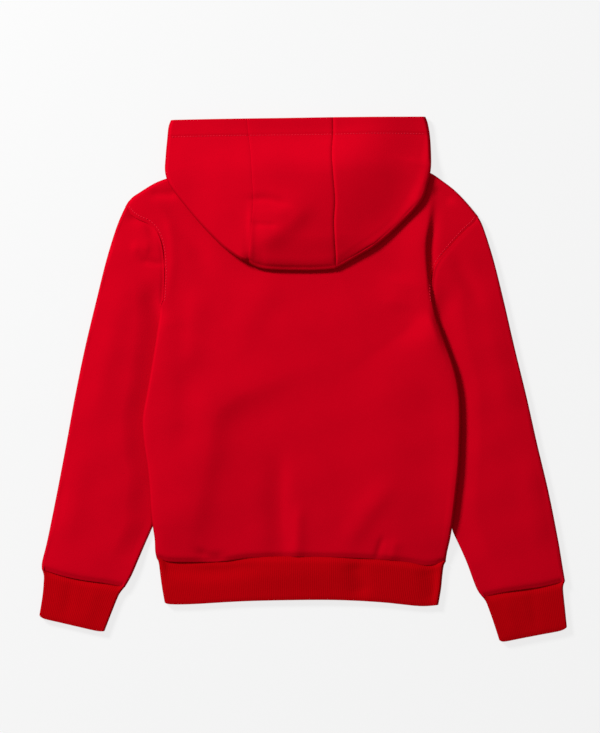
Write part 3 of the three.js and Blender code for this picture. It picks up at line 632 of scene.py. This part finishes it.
# Sleeves
# Each sleeve is one piece of fleece closed by its underarm seam, set into the armhole and sewn to
# its cuff. It lies flat, and its inner edge runs in under the body. A few soft folds run down it.
armhole_lap = 0.0012
lap_hold = 60
lap_rise = 0.35
tucked_thickness = 0.0054
sleeve_rise = 0.032
tuck_margin = 0.005
tuck_end_y = -0.190
edge_roll = 0.028
inner_pace = 1.5
armhole_hold = 3.0
cuff_hold = 4.0
narrow_run = 0.034
narrow_end = (-0.240, -0.200)
free_run = 0.035
outer_fold_fade = 0.12
cuff_groove_depth = 0.0020
cuff_groove_width = 0.0040
sleeve_puff = 0.0012
sleeve_ripple = 0.00018
sleeve_waves = [
    Wave(83, 57, 0.0),
    Wave(-41, 101, 0.7),
]

sleeve_outer_left = spots(
    (-0.2267, 0.2188), (-0.2376, 0.1915), (-0.2501, 0.1509), (-0.2628, 0.100), (-0.2774, 0.039),
    (-0.2899, -0.022), (-0.3011, -0.083), (-0.3127, -0.144), (-0.325, -0.2047), (-0.3317, -0.232),
)
sleeve_outer_right = spots(
    (0.2233, 0.2061), (0.2296, 0.1915), (0.2423, 0.1509), (0.255, 0.100), (0.2691, 0.039),
    (0.284, -0.022), (0.2977, -0.083), (0.3122, -0.144), (0.3243, -0.2047), (0.3302, -0.240),
)
sleeve_inner_left = spots((-0.1941, -0.1946), (-0.2008, -0.2098), (-0.2094, -0.230), (-0.2182, -0.2504))
sleeve_inner_right = spots((0.1905, -0.1943), (0.200, -0.2149), (0.2088, -0.2352), (0.2202, -0.2657))
cuff_seam_left = spots(
    (-0.3322, -0.2422), (-0.3043, -0.2507), (-0.280, -0.2558), (-0.2536, -0.2595), (-0.2265, -0.265),
)
cuff_seam_right = spots(
    (0.3332, -0.2573), (0.3053, -0.2638), (0.2811, -0.2673), (0.2567, -0.2709), (0.228, -0.2775),
)

sleeve_folds = [
    Fold(0.0065, 0.0065, -0.0019, [(-0.2198, 0.2055), (-0.1995, 0.1991), (-0.1894, 0.1814)]),
    Fold(0.0080, 0.0080, 0.0012, [(-0.2148, 0.1661), (-0.1970, 0.1648)]),
    Fold(0.0046, 0.0046, -0.0011, [(-0.2033, 0.1496), (-0.1805, 0.1458)]),
    Fold(0.0160, 0.0160, 0.0012, [(-0.2351, 0.0899), (-0.2617, -0.0295)]),
    Fold(0.0160, 0.0160, 0.0012, [(-0.2846, -0.1196), (-0.2998, -0.1996)]),
    Fold(0.0110, 0.0110, -0.0015, [(0.1955, 0.1496), (0.2221, 0.1001)]),
    Fold(0.0160, 0.0160, 0.0012, [(0.2361, 0.0798), (0.2615, -0.0396)]),
    Fold(0.0160, 0.0160, 0.0012, [(0.2856, -0.1196), (0.2996, -0.2047)]),
    Fold(0.0018, 0.0018, -0.0008, [(-0.1932, -0.1679), (-0.2051, -0.1946), (-0.2173, -0.2250),
                                   (-0.2253, -0.2555)]),
]

over, inner_edge, under, outer_edge = range(4)
ring_steps = 13


def tube_ring(roll, top_shares, under_shares):
    """Shares across, turning and stretch for the places round a tube that is laid flat.

    It starts low on the outer edge, and runs over the top, round the inner edge and back below.
    """
    turns = np.linspace(-quarter_turn, quarter_turn, ring_steps)
    lap = roll * (1.0 - np.cos(turns))
    share = np.concatenate((lap, top_shares, 1.0 - lap, under_shares[::-1], lap[:1]))
    turn = np.concatenate((turns, np.zeros(len(top_shares)), turns[::-1],
                           np.zeros(len(under_shares)), turns[:1]))
    stretch = np.concatenate((np.full(len(turns), outer_edge), np.full(len(top_shares), over),
                              np.full(len(turns), inner_edge), np.full(len(under_shares), under),
                              [outer_edge]))
    return share, turn, stretch


def tube_places(plan, rows, ring, top_height, outer_radius, inner_radius):
    """Rows of places round a flattened tube, from its start to its open end."""
    share, turn, stretch = ring
    uu, vv = np.meshgrid(share, rows)
    place = plan(uu, vv)
    x, y = place[..., 0], place[..., 1]
    radius = np.where(stretch == inner_edge, inner_radius(rows)[:, None], outer_radius)
    top = top_height(x, y, uu, vv)
    rolled = radius * (1.0 + np.sin(turn))
    height = np.where(stretch == over, top, np.where(stretch == under, 0.0, rolled))
    return np.stack((x, y, height), axis=-1)


extra_tuck = 0.009
extra_tuck_start = (0.005, 0.055)
extra_tuck_end = (-0.100, -0.020)


def least_tuck(y):
    """How far the sleeve runs in under the body at least, so that nothing shows between them."""
    below = smoothstep(underarm_y - y, *extra_tuck_start) * smoothstep(y, *extra_tuck_end)
    return armhole_lap + float(below) * extra_tuck


def sleeve_places(is_left):
    edge = left_edge if is_left else right_edge
    tuck = tuck_left if is_left else tuck_right
    inwards = 1.0 if is_left else -1.0
    hidden = [(float(edge(row.y)) + inwards * max(float(tuck(row.y)), least_tuck(row.y)), row.y)
              for row in reversed(body_sides) if row.y > tuck_end_y]
    seam = cuff_seam_left if is_left else cuff_seam_right
    inner = curve([*hidden, *(sleeve_inner_left if is_left else sleeve_inner_right), seam[-1]])
    outer = curve([*(sleeve_outer_left if is_left else sleeve_outer_right), seam[0]])
    armhole = armhole_left if is_left else armhole_right
    lap = armhole_lap * np.array((inwards, lap_rise))

    def paced_inner(v):
        return inner(np.asarray(v) ** inner_pace)

    laid_out = patch(curve(armhole), curve(seam), outer, paced_inner, armhole_hold, cuff_hold)

    def plan(u, v):
        return laid_out(u, v) + lap * ((1.0 - v) ** lap_hold)[..., None]

    seam_line = [tuple(spot) for spot in seam]

    def inner_radius(v):
        y = plan(np.ones_like(v), v)[..., 1]
        narrow = smoothstep(underarm_y - y, 0.0, narrow_run) * smoothstep(y, *narrow_end)
        return mix(body_thickness, tucked_thickness, narrow) / 2

    def top_height(x, y, u, v):
        inner_x = plan(np.ones_like(v), v)[..., 0]
        from_edge = np.abs(x - inner_x)
        reach = np.where(y < underarm_y, np.maximum(tuck(y) - tuck_margin, fold_reach), fold_reach)
        full = smoothstep(from_edge, reach, reach + sleeve_rise)
        laid_free = mix(full, 1.0, smoothstep(y, underarm_y, underarm_y + free_run))
        folds = relief(sleeve_folds, x, y) * smoothstep(u, 0.0, outer_fold_fade) * laid_free
        grooves = seam_depth * np.exp(-(distance(armhole, x, y) / seam_width) ** 2)
        grooves += cuff_groove_depth * np.exp(-(distance(seam_line, x, y) / cuff_groove_width) ** 2)
        puff = sleeve_puff * laid_free * np.sin(math.pi * u)
        ripple = rippled(sleeve_ripple, sleeve_waves, x, y) * laid_free
        edge_height = 2 * inner_radius(v[:, 0])[:, None]
        return mix(edge_height, body_thickness, laid_free) + puff + folds + ripple - grooves

    ring = tube_ring(edge_roll, sleeve_over, sleeve_under)
    return tube_places(plan, sleeve_rows, ring, top_height, body_thickness / 2, inner_radius)


sleeve_over = np.linspace(0.036, 0.964, 62)
sleeve_under = np.linspace(0.04, 0.96, 24)
seam_rows_end = 0.02
cuff_rows_start = 0.985
close_rows = 5
sleeve_rows = np.concatenate((
    np.linspace(0.0, seam_rows_end, close_rows)[:-1],
    np.linspace(seam_rows_end, cuff_rows_start, 200),
    np.linspace(cuff_rows_start, 1.0, close_rows)[1:],
))

for side, facing in (("left", -1), ("right", 1)):
    sleeve = cloth(f"fleece_sleeve_{side}", sleeve_places(side == "left"), fleece, fleece_wall,
                   ring=True, facing=facing)
    declare(sleeve, f"sleeve_{side}")

# Cuffs and hem band
# Ribbed knit, doubled over and sewn to the fleece edge with its fold outwards. The bands are a
# little narrower than what they hold, so the fleece swells over their seams. The ribs run
# towards the open edge.
rib_wall = 0.0026
band_thickness = 0.0072
band_lap = 0.0003
rib_pitch = 0.0024
rib_nap = 0.0004
rib_strength = 0.22
rib_height = 0.0007
waves_in_unit = 10
sunk_depth = 0.0018
sunk_share = 0.09
turned_depth = 0.0006
turned_share = 0.05
rolls_to_flat = 3

hem_edge = spots(
    (-0.176, -0.2845), (-0.168, -0.2866), (-0.140, -0.2864), (-0.080, -0.283), (-0.025, -0.2815),
    (0.040, -0.2812), (0.098, -0.284), (0.148, -0.2889), (0.172, -0.2875),
)
band_left = spots((-0.1836, -0.234), (-0.1815, -0.250), (-0.1793, -0.266), (-0.176, -0.2845))
band_right = spots((0.1789, -0.238), (0.177, -0.252), (0.1755, -0.267), (0.172, -0.2875))
cuff_end_left = spots(
    (-0.3353, -0.3005), (-0.329, -0.305), (-0.3087, -0.3099), (-0.283, -0.3159),
    (-0.2617, -0.3206), (-0.2525, -0.3208),
)
cuff_end_right = spots(
    (0.3355, -0.3155), (0.327, -0.3203), (0.3009, -0.3254), (0.2755, -0.3303),
    (0.256, -0.334), (0.2496, -0.3325),
)
cuff_outer_left = spots((-0.330, -0.2485), (-0.3297, -0.256), (-0.3314, -0.276), (-0.3353, -0.3005))
cuff_outer_right = spots((0.3309, -0.2635), (0.331, -0.272), (0.3327, -0.288), (0.3355, -0.3155))
cuff_inner_left = spots((-0.2313, -0.2705), (-0.2352, -0.277), (-0.243, -0.2962), (-0.2525, -0.3208))
cuff_inner_right = spots((0.2322, -0.283), (0.2352, -0.290), (0.242, -0.309), (0.2496, -0.3325))


def rib_finish(name, color):
    """Ribbed knit: raised ribs a few millimetres apart along the piece's own grain."""
    material = fleece_finish(name, color, rib_nap)
    nodes = material.node_tree.nodes
    links = material.node_tree.links
    grain = nodes.new("ShaderNodeUVMap")
    grain.uv_map = "grain"
    ribs = nodes.new("ShaderNodeTexWave")
    ribs.wave_type = "BANDS"
    ribs.bands_direction = "X"
    ribs.wave_profile = "SIN"
    ribs.inputs["Scale"].default_value = math.pi / (waves_in_unit * rib_pitch)
    raised = nodes.new("ShaderNodeBump")
    raised.inputs["Strength"].default_value = rib_strength
    raised.inputs["Distance"].default_value = rib_height
    links.new(grain.outputs["UV"], ribs.inputs["Vector"])
    links.new(ribs.outputs["Fac"], raised.inputs["Height"])
    links.new(nodes["Bump"].outputs["Normal"], raised.inputs["Normal"])
    links.new(raised.outputs["Normal"], nodes["Principled BSDF"].inputs["Normal"])
    return material


rib_color = (0.400, 0.0005, 0.0032)
rib = rib_finish("red rib", rib_color)

band_folds = [
    Fold(0.0120, 0.0100, -0.0026, [(-0.1716, -0.2390), (-0.1246, -0.2428), (-0.0763, -0.2403)]),
    Fold(0.0160, 0.0160, 0.0010, [(-0.0611, -0.2504), (-0.0039, -0.2479), (0.0469, -0.2504)]),
    Fold(0.0140, 0.0120, -0.0024, [(0.0672, -0.2377), (0.0748, -0.2708)]),
    Fold(0.0140, 0.0120, -0.0024, [(0.1612, -0.2428), (0.1688, -0.2784)]),
]
cuff_folds = [
    Fold(0.0080, 0.0080, -0.0007, [(-0.2950, -0.2600), (-0.3000, -0.2950)]),
    Fold(0.0100, 0.0100, 0.0006, [(-0.2650, -0.2700), (-0.2750, -0.3050)]),
    Fold(0.0080, 0.0080, -0.0007, [(0.2900, -0.2750), (0.2950, -0.3100)]),
    Fold(0.0100, 0.0100, 0.0006, [(0.2600, -0.2850), (0.2680, -0.3200)]),
]


def band_places(seam_line, end, outer, inner, folds, roll, across):
    """Rows of places round a ribbed band, from its seam to its open edge."""
    def seam(u):
        return seam_line(u) + np.array((0.0, band_lap))

    def side(u, table):
        return curve([tuple(seam(u)), *table])

    plan = patch(seam, curve(end), side(0.0, outer), side(1.0, inner))

    def top_height(x, y, u, v):
        sunk = sunk_depth * np.exp(-(v / sunk_share) ** 2)
        turned = turned_depth * np.exp(-((1.0 - v) / turned_share) ** 2)
        flat = smoothstep(u, 0.0, rolls_to_flat * roll) * smoothstep(1.0 - u, 0.0, rolls_to_flat * roll)
        return band_thickness + relief(folds, x, y) * flat - (sunk + turned) * flat

    def radius(v):
        return np.full(len(v), band_thickness / 2)

    ring = tube_ring(roll, across, across)
    return tube_places(plan, band_rows, ring, top_height, band_thickness / 2, radius)


band_rows = np.linspace(0.0, 1.0, 34)
cuff_across = np.linspace(0.04, 0.96, 50)
hem_across = past_roll(np.linspace(0.01, 0.99, 170))

for side, facing, seam, end, outer, inner in (
        ("left", -1, cuff_seam_left, cuff_end_left, cuff_outer_left, cuff_inner_left),
        ("right", 1, cuff_seam_right, cuff_end_right, cuff_outer_right, cuff_inner_right)):
    places = band_places(curve(seam), end, outer, inner, cuff_folds, edge_roll, cuff_across)
    cuff = cloth(f"rib_cuff_{side}", places, rib, rib_wall, ring=True, facing=facing)
    declare(cuff, f"cuff_{side}")

places = band_places(hem_line, hem_edge, band_left, band_right, band_folds, hem_roll, hem_across)
hem_band = cloth("rib_hem_band", places, rib, rib_wall, ring=True, facing=-1)
declare(hem_band, "hem_band")

# Hood
# Three pieces of fleece: two shaped sides and a centre strip from the mouth over the crown to the
# nape. It lies back over the body, folded double, with its mouth at the top of the picture. The
# mouth has a wide turned hem, and the strip's seams run up the middle.
hood_thickness = 0.008
hood_rest = body_thickness + seam_gap
hood_seam_lap = 0.0003
least_room = 0.0054
hood_middle_x = -0.006
mouth_sag = 0.004
crown_run = 0.0024
nape_gap = 0.0005
neck_share = 0.62
mouth_hem = 0.0216
panel_flat = (0.200, 0.230)
panel_area = 0.033
strip_flat = (0.115, 0.350)
strip_area = 0.036

hood_outline_left = spots(
    (-0.0692, 0.1471), (-0.0801, 0.1515), (-0.1021, 0.1674), (-0.1267, 0.1922), (-0.1513, 0.2214),
    (-0.169, 0.2452), (-0.1751, 0.2626), (-0.1746, 0.283), (-0.1728, 0.3033), (-0.171, 0.320),
    (-0.168, 0.3283),
)
hood_outline_right = spots(
    (0.0416, 0.1392), (0.0538, 0.1456), (0.0697, 0.1547), (0.0939, 0.1693), (0.1237, 0.1953),
    (0.1497, 0.2233), (0.1586, 0.2474), (0.1626, 0.272), (0.1619, 0.3033), (0.159, 0.323),
    (0.1556, 0.3328),
)
hood_crown = spots(
    (-0.0692, 0.1471), (-0.0605, 0.142), (-0.048, 0.1388), (-0.028, 0.1375), (0.008, 0.137),
    (0.028, 0.1378), (0.0416, 0.1392),
)
hood_mouth = spots(
    (-0.168, 0.3283), (-0.131, 0.3292), (-0.0715, 0.3303), (0.038, 0.332), (0.098, 0.3331),
    (0.1556, 0.3328),
)
Seams = namedtuple("Seams", "y left right under_left under_right")
hood_seams = [
    Seams(0.137, -0.0692, 0.0416, -0.0692, 0.0416),
    Seams(0.156, -0.0690, 0.0413, -0.0691, 0.0418),
    Seams(0.176, -0.0674, 0.0400, -0.0683, 0.0422),
    Seams(0.200, -0.0649, 0.0392, -0.0672, 0.0430),
    Seams(0.226, -0.0630, 0.0406, -0.0654, 0.0442),
    Seams(0.255, -0.0646, 0.0384, -0.0632, 0.0456),
    Seams(0.287, -0.0666, 0.0364, -0.0620, 0.0464),
    Seams(0.310, -0.0693, 0.0381, -0.0620, 0.0464),
    Seams(0.333, -0.0717, 0.0381, -0.0620, 0.0464),
]

hood_folds = [
    Fold(0.0045, 0.0060, -0.0014, [(-0.0624, 0.2271), (-0.0446, 0.2271), (-0.0243, 0.2220)]),
    Fold(0.0080, 0.0080, 0.0007, [(-0.0598, 0.2106), (-0.0243, 0.2093)]),
    Fold(0.0040, 0.0040, -0.0009, [(-0.0598, 0.1953), (-0.0370, 0.1941)]),
    Fold(0.0160, 0.0300, 0.0032, [(-0.0522, 0.1763), (-0.0243, 0.1941), (-0.0014, 0.2156)]),
    Fold(0.0040, 0.0040, 0.0010, [(-0.0662, 0.2093), (-0.0662, 0.1534)]),
    Fold(0.0420, 0.0150, -0.0066, [(0.1535, 0.3084), (0.1396, 0.2499),
                                   (0.1078, 0.1991), (0.0672, 0.1687)]),
    Fold(0.0240, 0.0240, 0.0009, [(-0.1157, 0.2906), (-0.1005, 0.2017)]),
    Fold(0.0150, 0.0150, 0.0014, [(-0.0610, 0.3300), (0.0480, 0.3315)]),
]
left_seam = column(hood_seams, "y", "left")
right_seam = column(hood_seams, "y", "right")
mouth_y = column(hood_mouth, "x", "y")
crown_y = column(hood_crown, "x", "y")

neck_smoothing = 0.024
neck_samples = 9
under_drop = (0.005, 0.025)


def past_neck(x, y):
    """How far a place is beyond the back's top line, with that line's corners smoothed."""
    steps = neck_smoothing * np.linspace(-1.0, 1.0, neck_samples)
    return y - sum(back_top(x + step) for step in steps) / len(steps)


def hood_under(x, y):
    return hood_rest * (1.0 - smoothstep(y - back_top(x), *under_drop))


rest_share = 0.5
rest_drop = (-0.020, 0.070)
sag_half_width = 0.125
sag_start = (0.270, 0.325)
hood_round = [*hood_crown, *hood_outline_right[1:]]
hood_swell = 0.0074
hood_roll = 0.013
hood_roll_share = 0.65
swell_start = (-0.150, -0.030)
swell_end = (-0.010, 0.050)
swell_eased = 0.40
swell_ease = (0.030, 0.150)
crown_slope = 0.0056
crown_slope_run = 0.045
crown_slope_start = (-0.080, -0.050)
crown_slope_eased = 0.5
crown_slope_ease = (0.045, 0.10)
left_seam_depth = 0.0002
left_seam_width = 0.0020
right_seam_depth = 0.0011
right_seam_width = 0.0015
hem_step = 0.0005
hem_step_run = (-0.001, 0.002)
dent_depth = 0.0003
dent_width = 0.0014
hood_ripple = 0.0002
hood_waves = [
    Wave(63, -51, 0.0),
    Wave(37, 89, 2.1),
]
least_blend = 0.001


def hood_fullness(x, y):
    """How far the hood stands up over the body: it rolls down at its folds and slopes to its crown."""
    full = smoothstep(x, *swell_start) * (1.0 - smoothstep(past_neck(x, y), *swell_end))
    full = full * (1.0 - swell_eased * smoothstep(x, *swell_ease))
    from_fold = distance(hood_round, x, y) - fold_reach
    swell = hood_swell * (1.0 - hood_roll_share * rolled_off(from_fold, hood_roll))
    near_crown = smoothstep(crown_slope_run - (y - crown_y(x)), 0.0, crown_slope_run)
    slope = crown_slope * near_crown * smoothstep(x, *crown_slope_start)
    return swell * full - slope * (1.0 - crown_slope_eased * smoothstep(x, *crown_slope_ease))


def hood_top(x, y):
    """The hood's upper side: it rests on the body, drops past the neck and sags at its mouth."""
    rise = hood_rest * (1.0 - rest_share * smoothstep(past_neck(x, y), *rest_drop))
    middle = np.maximum(1.0 - ((x - hood_middle_x) / sag_half_width) ** 2, 0.0) ** 2
    sag = mouth_sag * middle * smoothstep(y, *sag_start)
    seams = left_seam_depth * np.exp(-((x - left_seam(y)) / left_seam_width) ** 2)
    seams += right_seam_depth * np.exp(-((x - right_seam(y)) / right_seam_width) ** 2)
    from_hem = y - (mouth_y(x) - mouth_hem)
    hem = hem_step * smoothstep(from_hem, *hem_step_run)
    dent = dent_depth * np.exp(-(from_hem / dent_width) ** 2)
    ripple = rippled(hood_ripple, hood_waves, x, y)
    laid = rise + hood_thickness - sag + hood_fullness(x, y) - seams + hem - dent + ripple
    laid += relief(hood_folds, x, y)
    least = hood_under(x, y) + least_room
    return least + np.logaddexp(0.0, (laid - least) / least_blend) * least_blend


fold_steps = 15
half_turn = np.linspace(quarter_turn, -quarter_turn, fold_steps)[1:-1]
fold_start = 1.7


def fold_places(tangent, direction):
    """Places round a fold of the hood, from its upper side to its lower one.

    The upper half starts steeper than a round, as a soft fold does.
    """
    x, y = tangent[..., 0:1], tangent[..., 1:2]
    high, low = hood_top(x, y), hood_under(x, y)
    out = fold_reach * np.cos(half_turn) ** np.where(half_turn > 0.0, fold_start, 1.0)
    height = (high + low) / 2 + (high - low) / 2 * np.sin(half_turn)
    return np.stack((x + direction[..., 0:1] * out, y + direction[..., 1:2] * out, height), axis=-1)


def sheet_places(start, end, shares, level):
    """Places along straight lines in plan from start to end, at a given level."""
    place = mix(start[:, None, :], end[:, None, :], shares[None, :, None])
    x, y = place[..., 0], place[..., 1]
    return np.stack((x, y, level(x, y)), axis=-1)


mouth_side_y = 0.330
strip_low_y = 0.140
strip_high_y = 0.331
nape_side_y = 0.270
panel_ribs = np.linspace(0.0, 1.0, 120)
panel_over = np.linspace(0.0, 1.0, 66)
panel_under = np.linspace(0.0, 1.0, 36)
strip_across = np.linspace(0.0, 1.0, 56)
strip_over = np.linspace(0.0, 1.0, 100)
strip_under = np.linspace(0.0, 1.0, 48)


def hood_side_places(is_left):
    """Ribs from the strip's seam out over the fold and back underneath to the neckline."""
    outwards = -1.0 if is_left else 1.0
    outline = curve(hood_outline_left if is_left else hood_outline_right)
    top_seam = left_seam if is_left else right_seam
    under_seam = column(hood_seams, "y", "under_left" if is_left else "under_right")
    neck_point_x = left_shoulder[-1].x if is_left else right_shoulder[0].x
    low_y = outline(0.0)[1] + fold_reach + crown_run
    high_y = float(mouth_y(top_seam(mouth_side_y)))
    step = -outwards * hood_seam_lap / 2
    nape_y = float(back_top(under_seam(nape_side_y))) - nape_gap
    v = panel_ribs
    seam_y = mix(low_y, high_y, v)
    start = np.stack((top_seam(seam_y) + step, seam_y), axis=-1)
    fold = outline(v)
    fold[0, 0] = start[0, 0]
    direction = fold - start
    direction /= np.linalg.norm(direction, axis=1)[:, None]
    tangent = fold - direction * fold_reach
    finish_y = mix(low_y, nape_y, np.minimum(v / neck_share, 1.0))
    finish_x = under_seam(finish_y) + step
    past = np.maximum(v - neck_share, 0.0) / (1.0 - neck_share)
    finish_x = mix(finish_x, neck_point_x, past)
    finish_y = np.where(v > neck_share, back_top(finish_x) - nape_gap, finish_y)
    finish = np.stack((finish_x, finish_y), axis=-1)
    return np.concatenate((
        sheet_places(start, tangent, panel_over, hood_top),
        fold_places(tangent, direction),
        sheet_places(tangent, finish, panel_under, hood_under),
    ), axis=1)


def hood_strip_places():
    """Lengthways lines from the mouth over the crown and back underneath to the nape."""
    under_left = column(hood_seams, "y", "under_left")
    under_right = column(hood_seams, "y", "under_right")

    def across(first, last, y, shares=strip_across):
        return mix(first(y) - hood_seam_lap / 2, last(y) + hood_seam_lap / 2, shares)

    fold_y = crown_y(across(left_seam, right_seam, strip_low_y)) + fold_reach
    top_y = mouth_y(across(left_seam, right_seam, strip_high_y))
    nape_y = back_top(across(under_left, under_right, nape_side_y)) - nape_gap

    def lengthways(start_y, end_y, shares, first, last, level):
        y = mix(start_y[:, None], end_y[:, None], shares[None, :])
        x = across(first, last, y, strip_across[:, None])
        return np.stack((x, y, level(x, y)), axis=-1)

    tangent = np.stack((across(left_seam, right_seam, fold_y), fold_y), axis=-1)
    down = np.tile((0.0, -1.0), (len(strip_across), 1))
    return np.concatenate((
        lengthways(top_y, fold_y, strip_over, left_seam, right_seam, hood_top),
        fold_places(tangent, down),
        lengthways(fold_y, nape_y, strip_under, under_left, under_right, hood_under),
    ), axis=1)


hood_panel_left = cloth("hood_panel_left", hood_side_places(True), fleece, fleece_wall, facing=-1)
hood_panel_right = cloth("hood_panel_right", hood_side_places(False), fleece, fleece_wall)
hood_strip = cloth("hood_strip", hood_strip_places(), fleece, fleece_wall)

# Stitches
# Thread a little paler than the cloth, each stitch a small capsule: a row beside each armhole,
# and rows that hold the turned hem of the hood's mouth. The cloth that carries them is declared
# here, with its rows.
thread_color = (0.67, 0.014, 0.035)
thread_radius = 0.0004
stitch_length = 0.0027
stitch_pitch = 0.0038
stitch_sink = 0.0002
stitch_stray = 0.00012
armhole_row_away = 0.0045
row_end_share = 0.03
row_stops = 400
stitch_sides = 8
stitch_rings = 6
beside_step = 0.002
stitch_random = random.Random(11)
thread_nap = 0.0001
thread = fleece_finish("red thread", thread_color, thread_nap)


def stitch_row(name, line, height):
    """A row of stitches along a line in plan, lying on a surface of a given height."""
    bm = bmesh.new()
    stops = line(np.linspace(0.0, 1.0, row_stops))
    length = np.hypot(*np.diff(stops, axis=0).T).sum()
    count = int(length / stitch_pitch)
    half = stitch_length / 2 / length
    for at in np.linspace(row_end_share, 1.0 - row_end_share, count):
        ends = []
        for share in (at - half, at + half):
            x, y = line(share)
            level = float(height(x, y)) - stitch_sink + thread_radius / 2
            ends.append(Vector((x, y, level)) + Vector(part_centring))
        middle = (ends[0] + ends[1]) / 2
        middle.x += stitch_random.uniform(-stitch_stray, stitch_stray)
        middle.y += stitch_random.uniform(-stitch_stray, stitch_stray)
        turn = (ends[1] - ends[0]).to_track_quat("X", "Z").to_matrix().to_4x4()
        size = Matrix.Diagonal((stitch_length / 2, thread_radius, thread_radius, 1.0))
        bmesh.ops.create_uvsphere(bm, u_segments=stitch_sides, v_segments=stitch_rings, radius=1.0,
                                  matrix=Matrix.Translation(middle) @ turn @ size)
    for face in bm.faces:
        face.smooth = True
    mesh = bpy.data.meshes.new(name)
    bm.to_mesh(mesh)
    bm.free()
    mesh.materials.append(thread)
    piece = bpy.data.objects.new(name, mesh)
    bpy.context.scene.collection.objects.link(piece)
    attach(piece, "root")
    return piece


def beside(armhole, away):
    """The armhole's line moved sideways onto the body."""
    seam = curve(armhole)

    def read(share):
        share = np.asarray(share, float)
        before = seam(np.maximum(share - beside_step, 0.0))
        after = seam(np.minimum(share + beside_step, 1.0))
        along = after - before
        along = along / np.linalg.norm(along, axis=-1, keepdims=True)
        across = np.stack((-along[..., 1], along[..., 0]), axis=-1)
        return seam(share) + across * away

    return read


def back_height(x, y):
    return body_thickness + back_lift(x, y) + body_relief(x, y)


def mouth_line(first_x, last_x):
    """The line where the mouth's hem ends, between two places across the hood."""
    def read(share):
        x = mix(first_x, last_x, np.asarray(share, float))
        return np.stack((x, mouth_y(x) - mouth_hem), axis=-1)

    return read


armhole_rows = [
    stitch_row("armhole_stitches_left", beside(armhole_left, armhole_row_away), back_height),
    stitch_row("armhole_stitches_right", beside(armhole_right, -armhole_row_away), back_height),
]
declare(back, "body_back")

mouth_seam_left = float(left_seam(hood_mouth[0].y - mouth_hem))
mouth_seam_right = float(right_seam(hood_mouth[-1].y - mouth_hem))
for panel, node, flat, area, first_x, last_x in (
        (hood_panel_left, "hood_left", panel_flat, panel_area, hood_mouth[0].x, mouth_seam_left),
        (hood_strip, "hood_centre", strip_flat, strip_area, mouth_seam_left, mouth_seam_right),
        (hood_panel_right, "hood_right", panel_flat, panel_area, mouth_seam_right, hood_mouth[-1].x)):
    row = stitch_row(f"{node}_stitches", mouth_line(first_x, last_x), hood_top)
    declare(panel, node)

# Table and light
# A plain pale table that glows a little, so it stays even, with soft light from the upper left
# and a weak fill from all round.
floor_half = 6.0
floor_color = (0.12, 0.12, 0.12, 1.0)
floor_glow = 0.79
floor_roughness = 0.9
white = (1.0, 1.0, 1.0, 1.0)
bm = bmesh.new()
bmesh.ops.create_grid(bm, x_segments=1, y_segments=1, size=floor_half)
floor_mesh = bpy.data.meshes.new("table")
bm.to_mesh(floor_mesh)
bm.free()
floor_material = bpy.data.materials.new("pale table")
floor_material.use_nodes = True
floor_nodes = floor_material.node_tree.nodes
floor_shader = floor_nodes["Principled BSDF"]
floor_shader.inputs["Roughness"].default_value = floor_roughness
floor_shader.inputs["Specular IOR Level"].default_value = 0.0
floor_shader.inputs["Base Color"].default_value = floor_color
floor_shader.inputs["Emission Color"].default_value = white
floor_shader.inputs["Emission Strength"].default_value = floor_glow
floor_mesh.materials.append(floor_material)
floor = bpy.data.objects.new("table", floor_mesh)
bpy.context.scene.collection.objects.link(floor)

lamp_distance = 3.3
lamp_direction = Vector((-0.62, 0.56, 0.48)).normalized()
lamp_size = 0.8
lamp_power = 164
lamp_data = bpy.data.lights.new("lamp", "AREA")
lamp_data.shape = "DISK"
lamp_data.size = lamp_size
lamp_data.energy = lamp_power
lamp = bpy.data.objects.new("lamp", lamp_data)
lamp.location = lamp_direction * lamp_distance
lamp.rotation_euler = lamp_direction.to_track_quat("Z", "Y").to_euler()
bpy.context.scene.collection.objects.link(lamp)

fill_strength = 0.32
world = bpy.data.worlds.new("room")
world.use_nodes = True
world.node_tree.nodes["Background"].inputs["Color"].default_value = white
world.node_tree.nodes["Background"].inputs["Strength"].default_value = fill_strength
bpy.context.scene.world = world
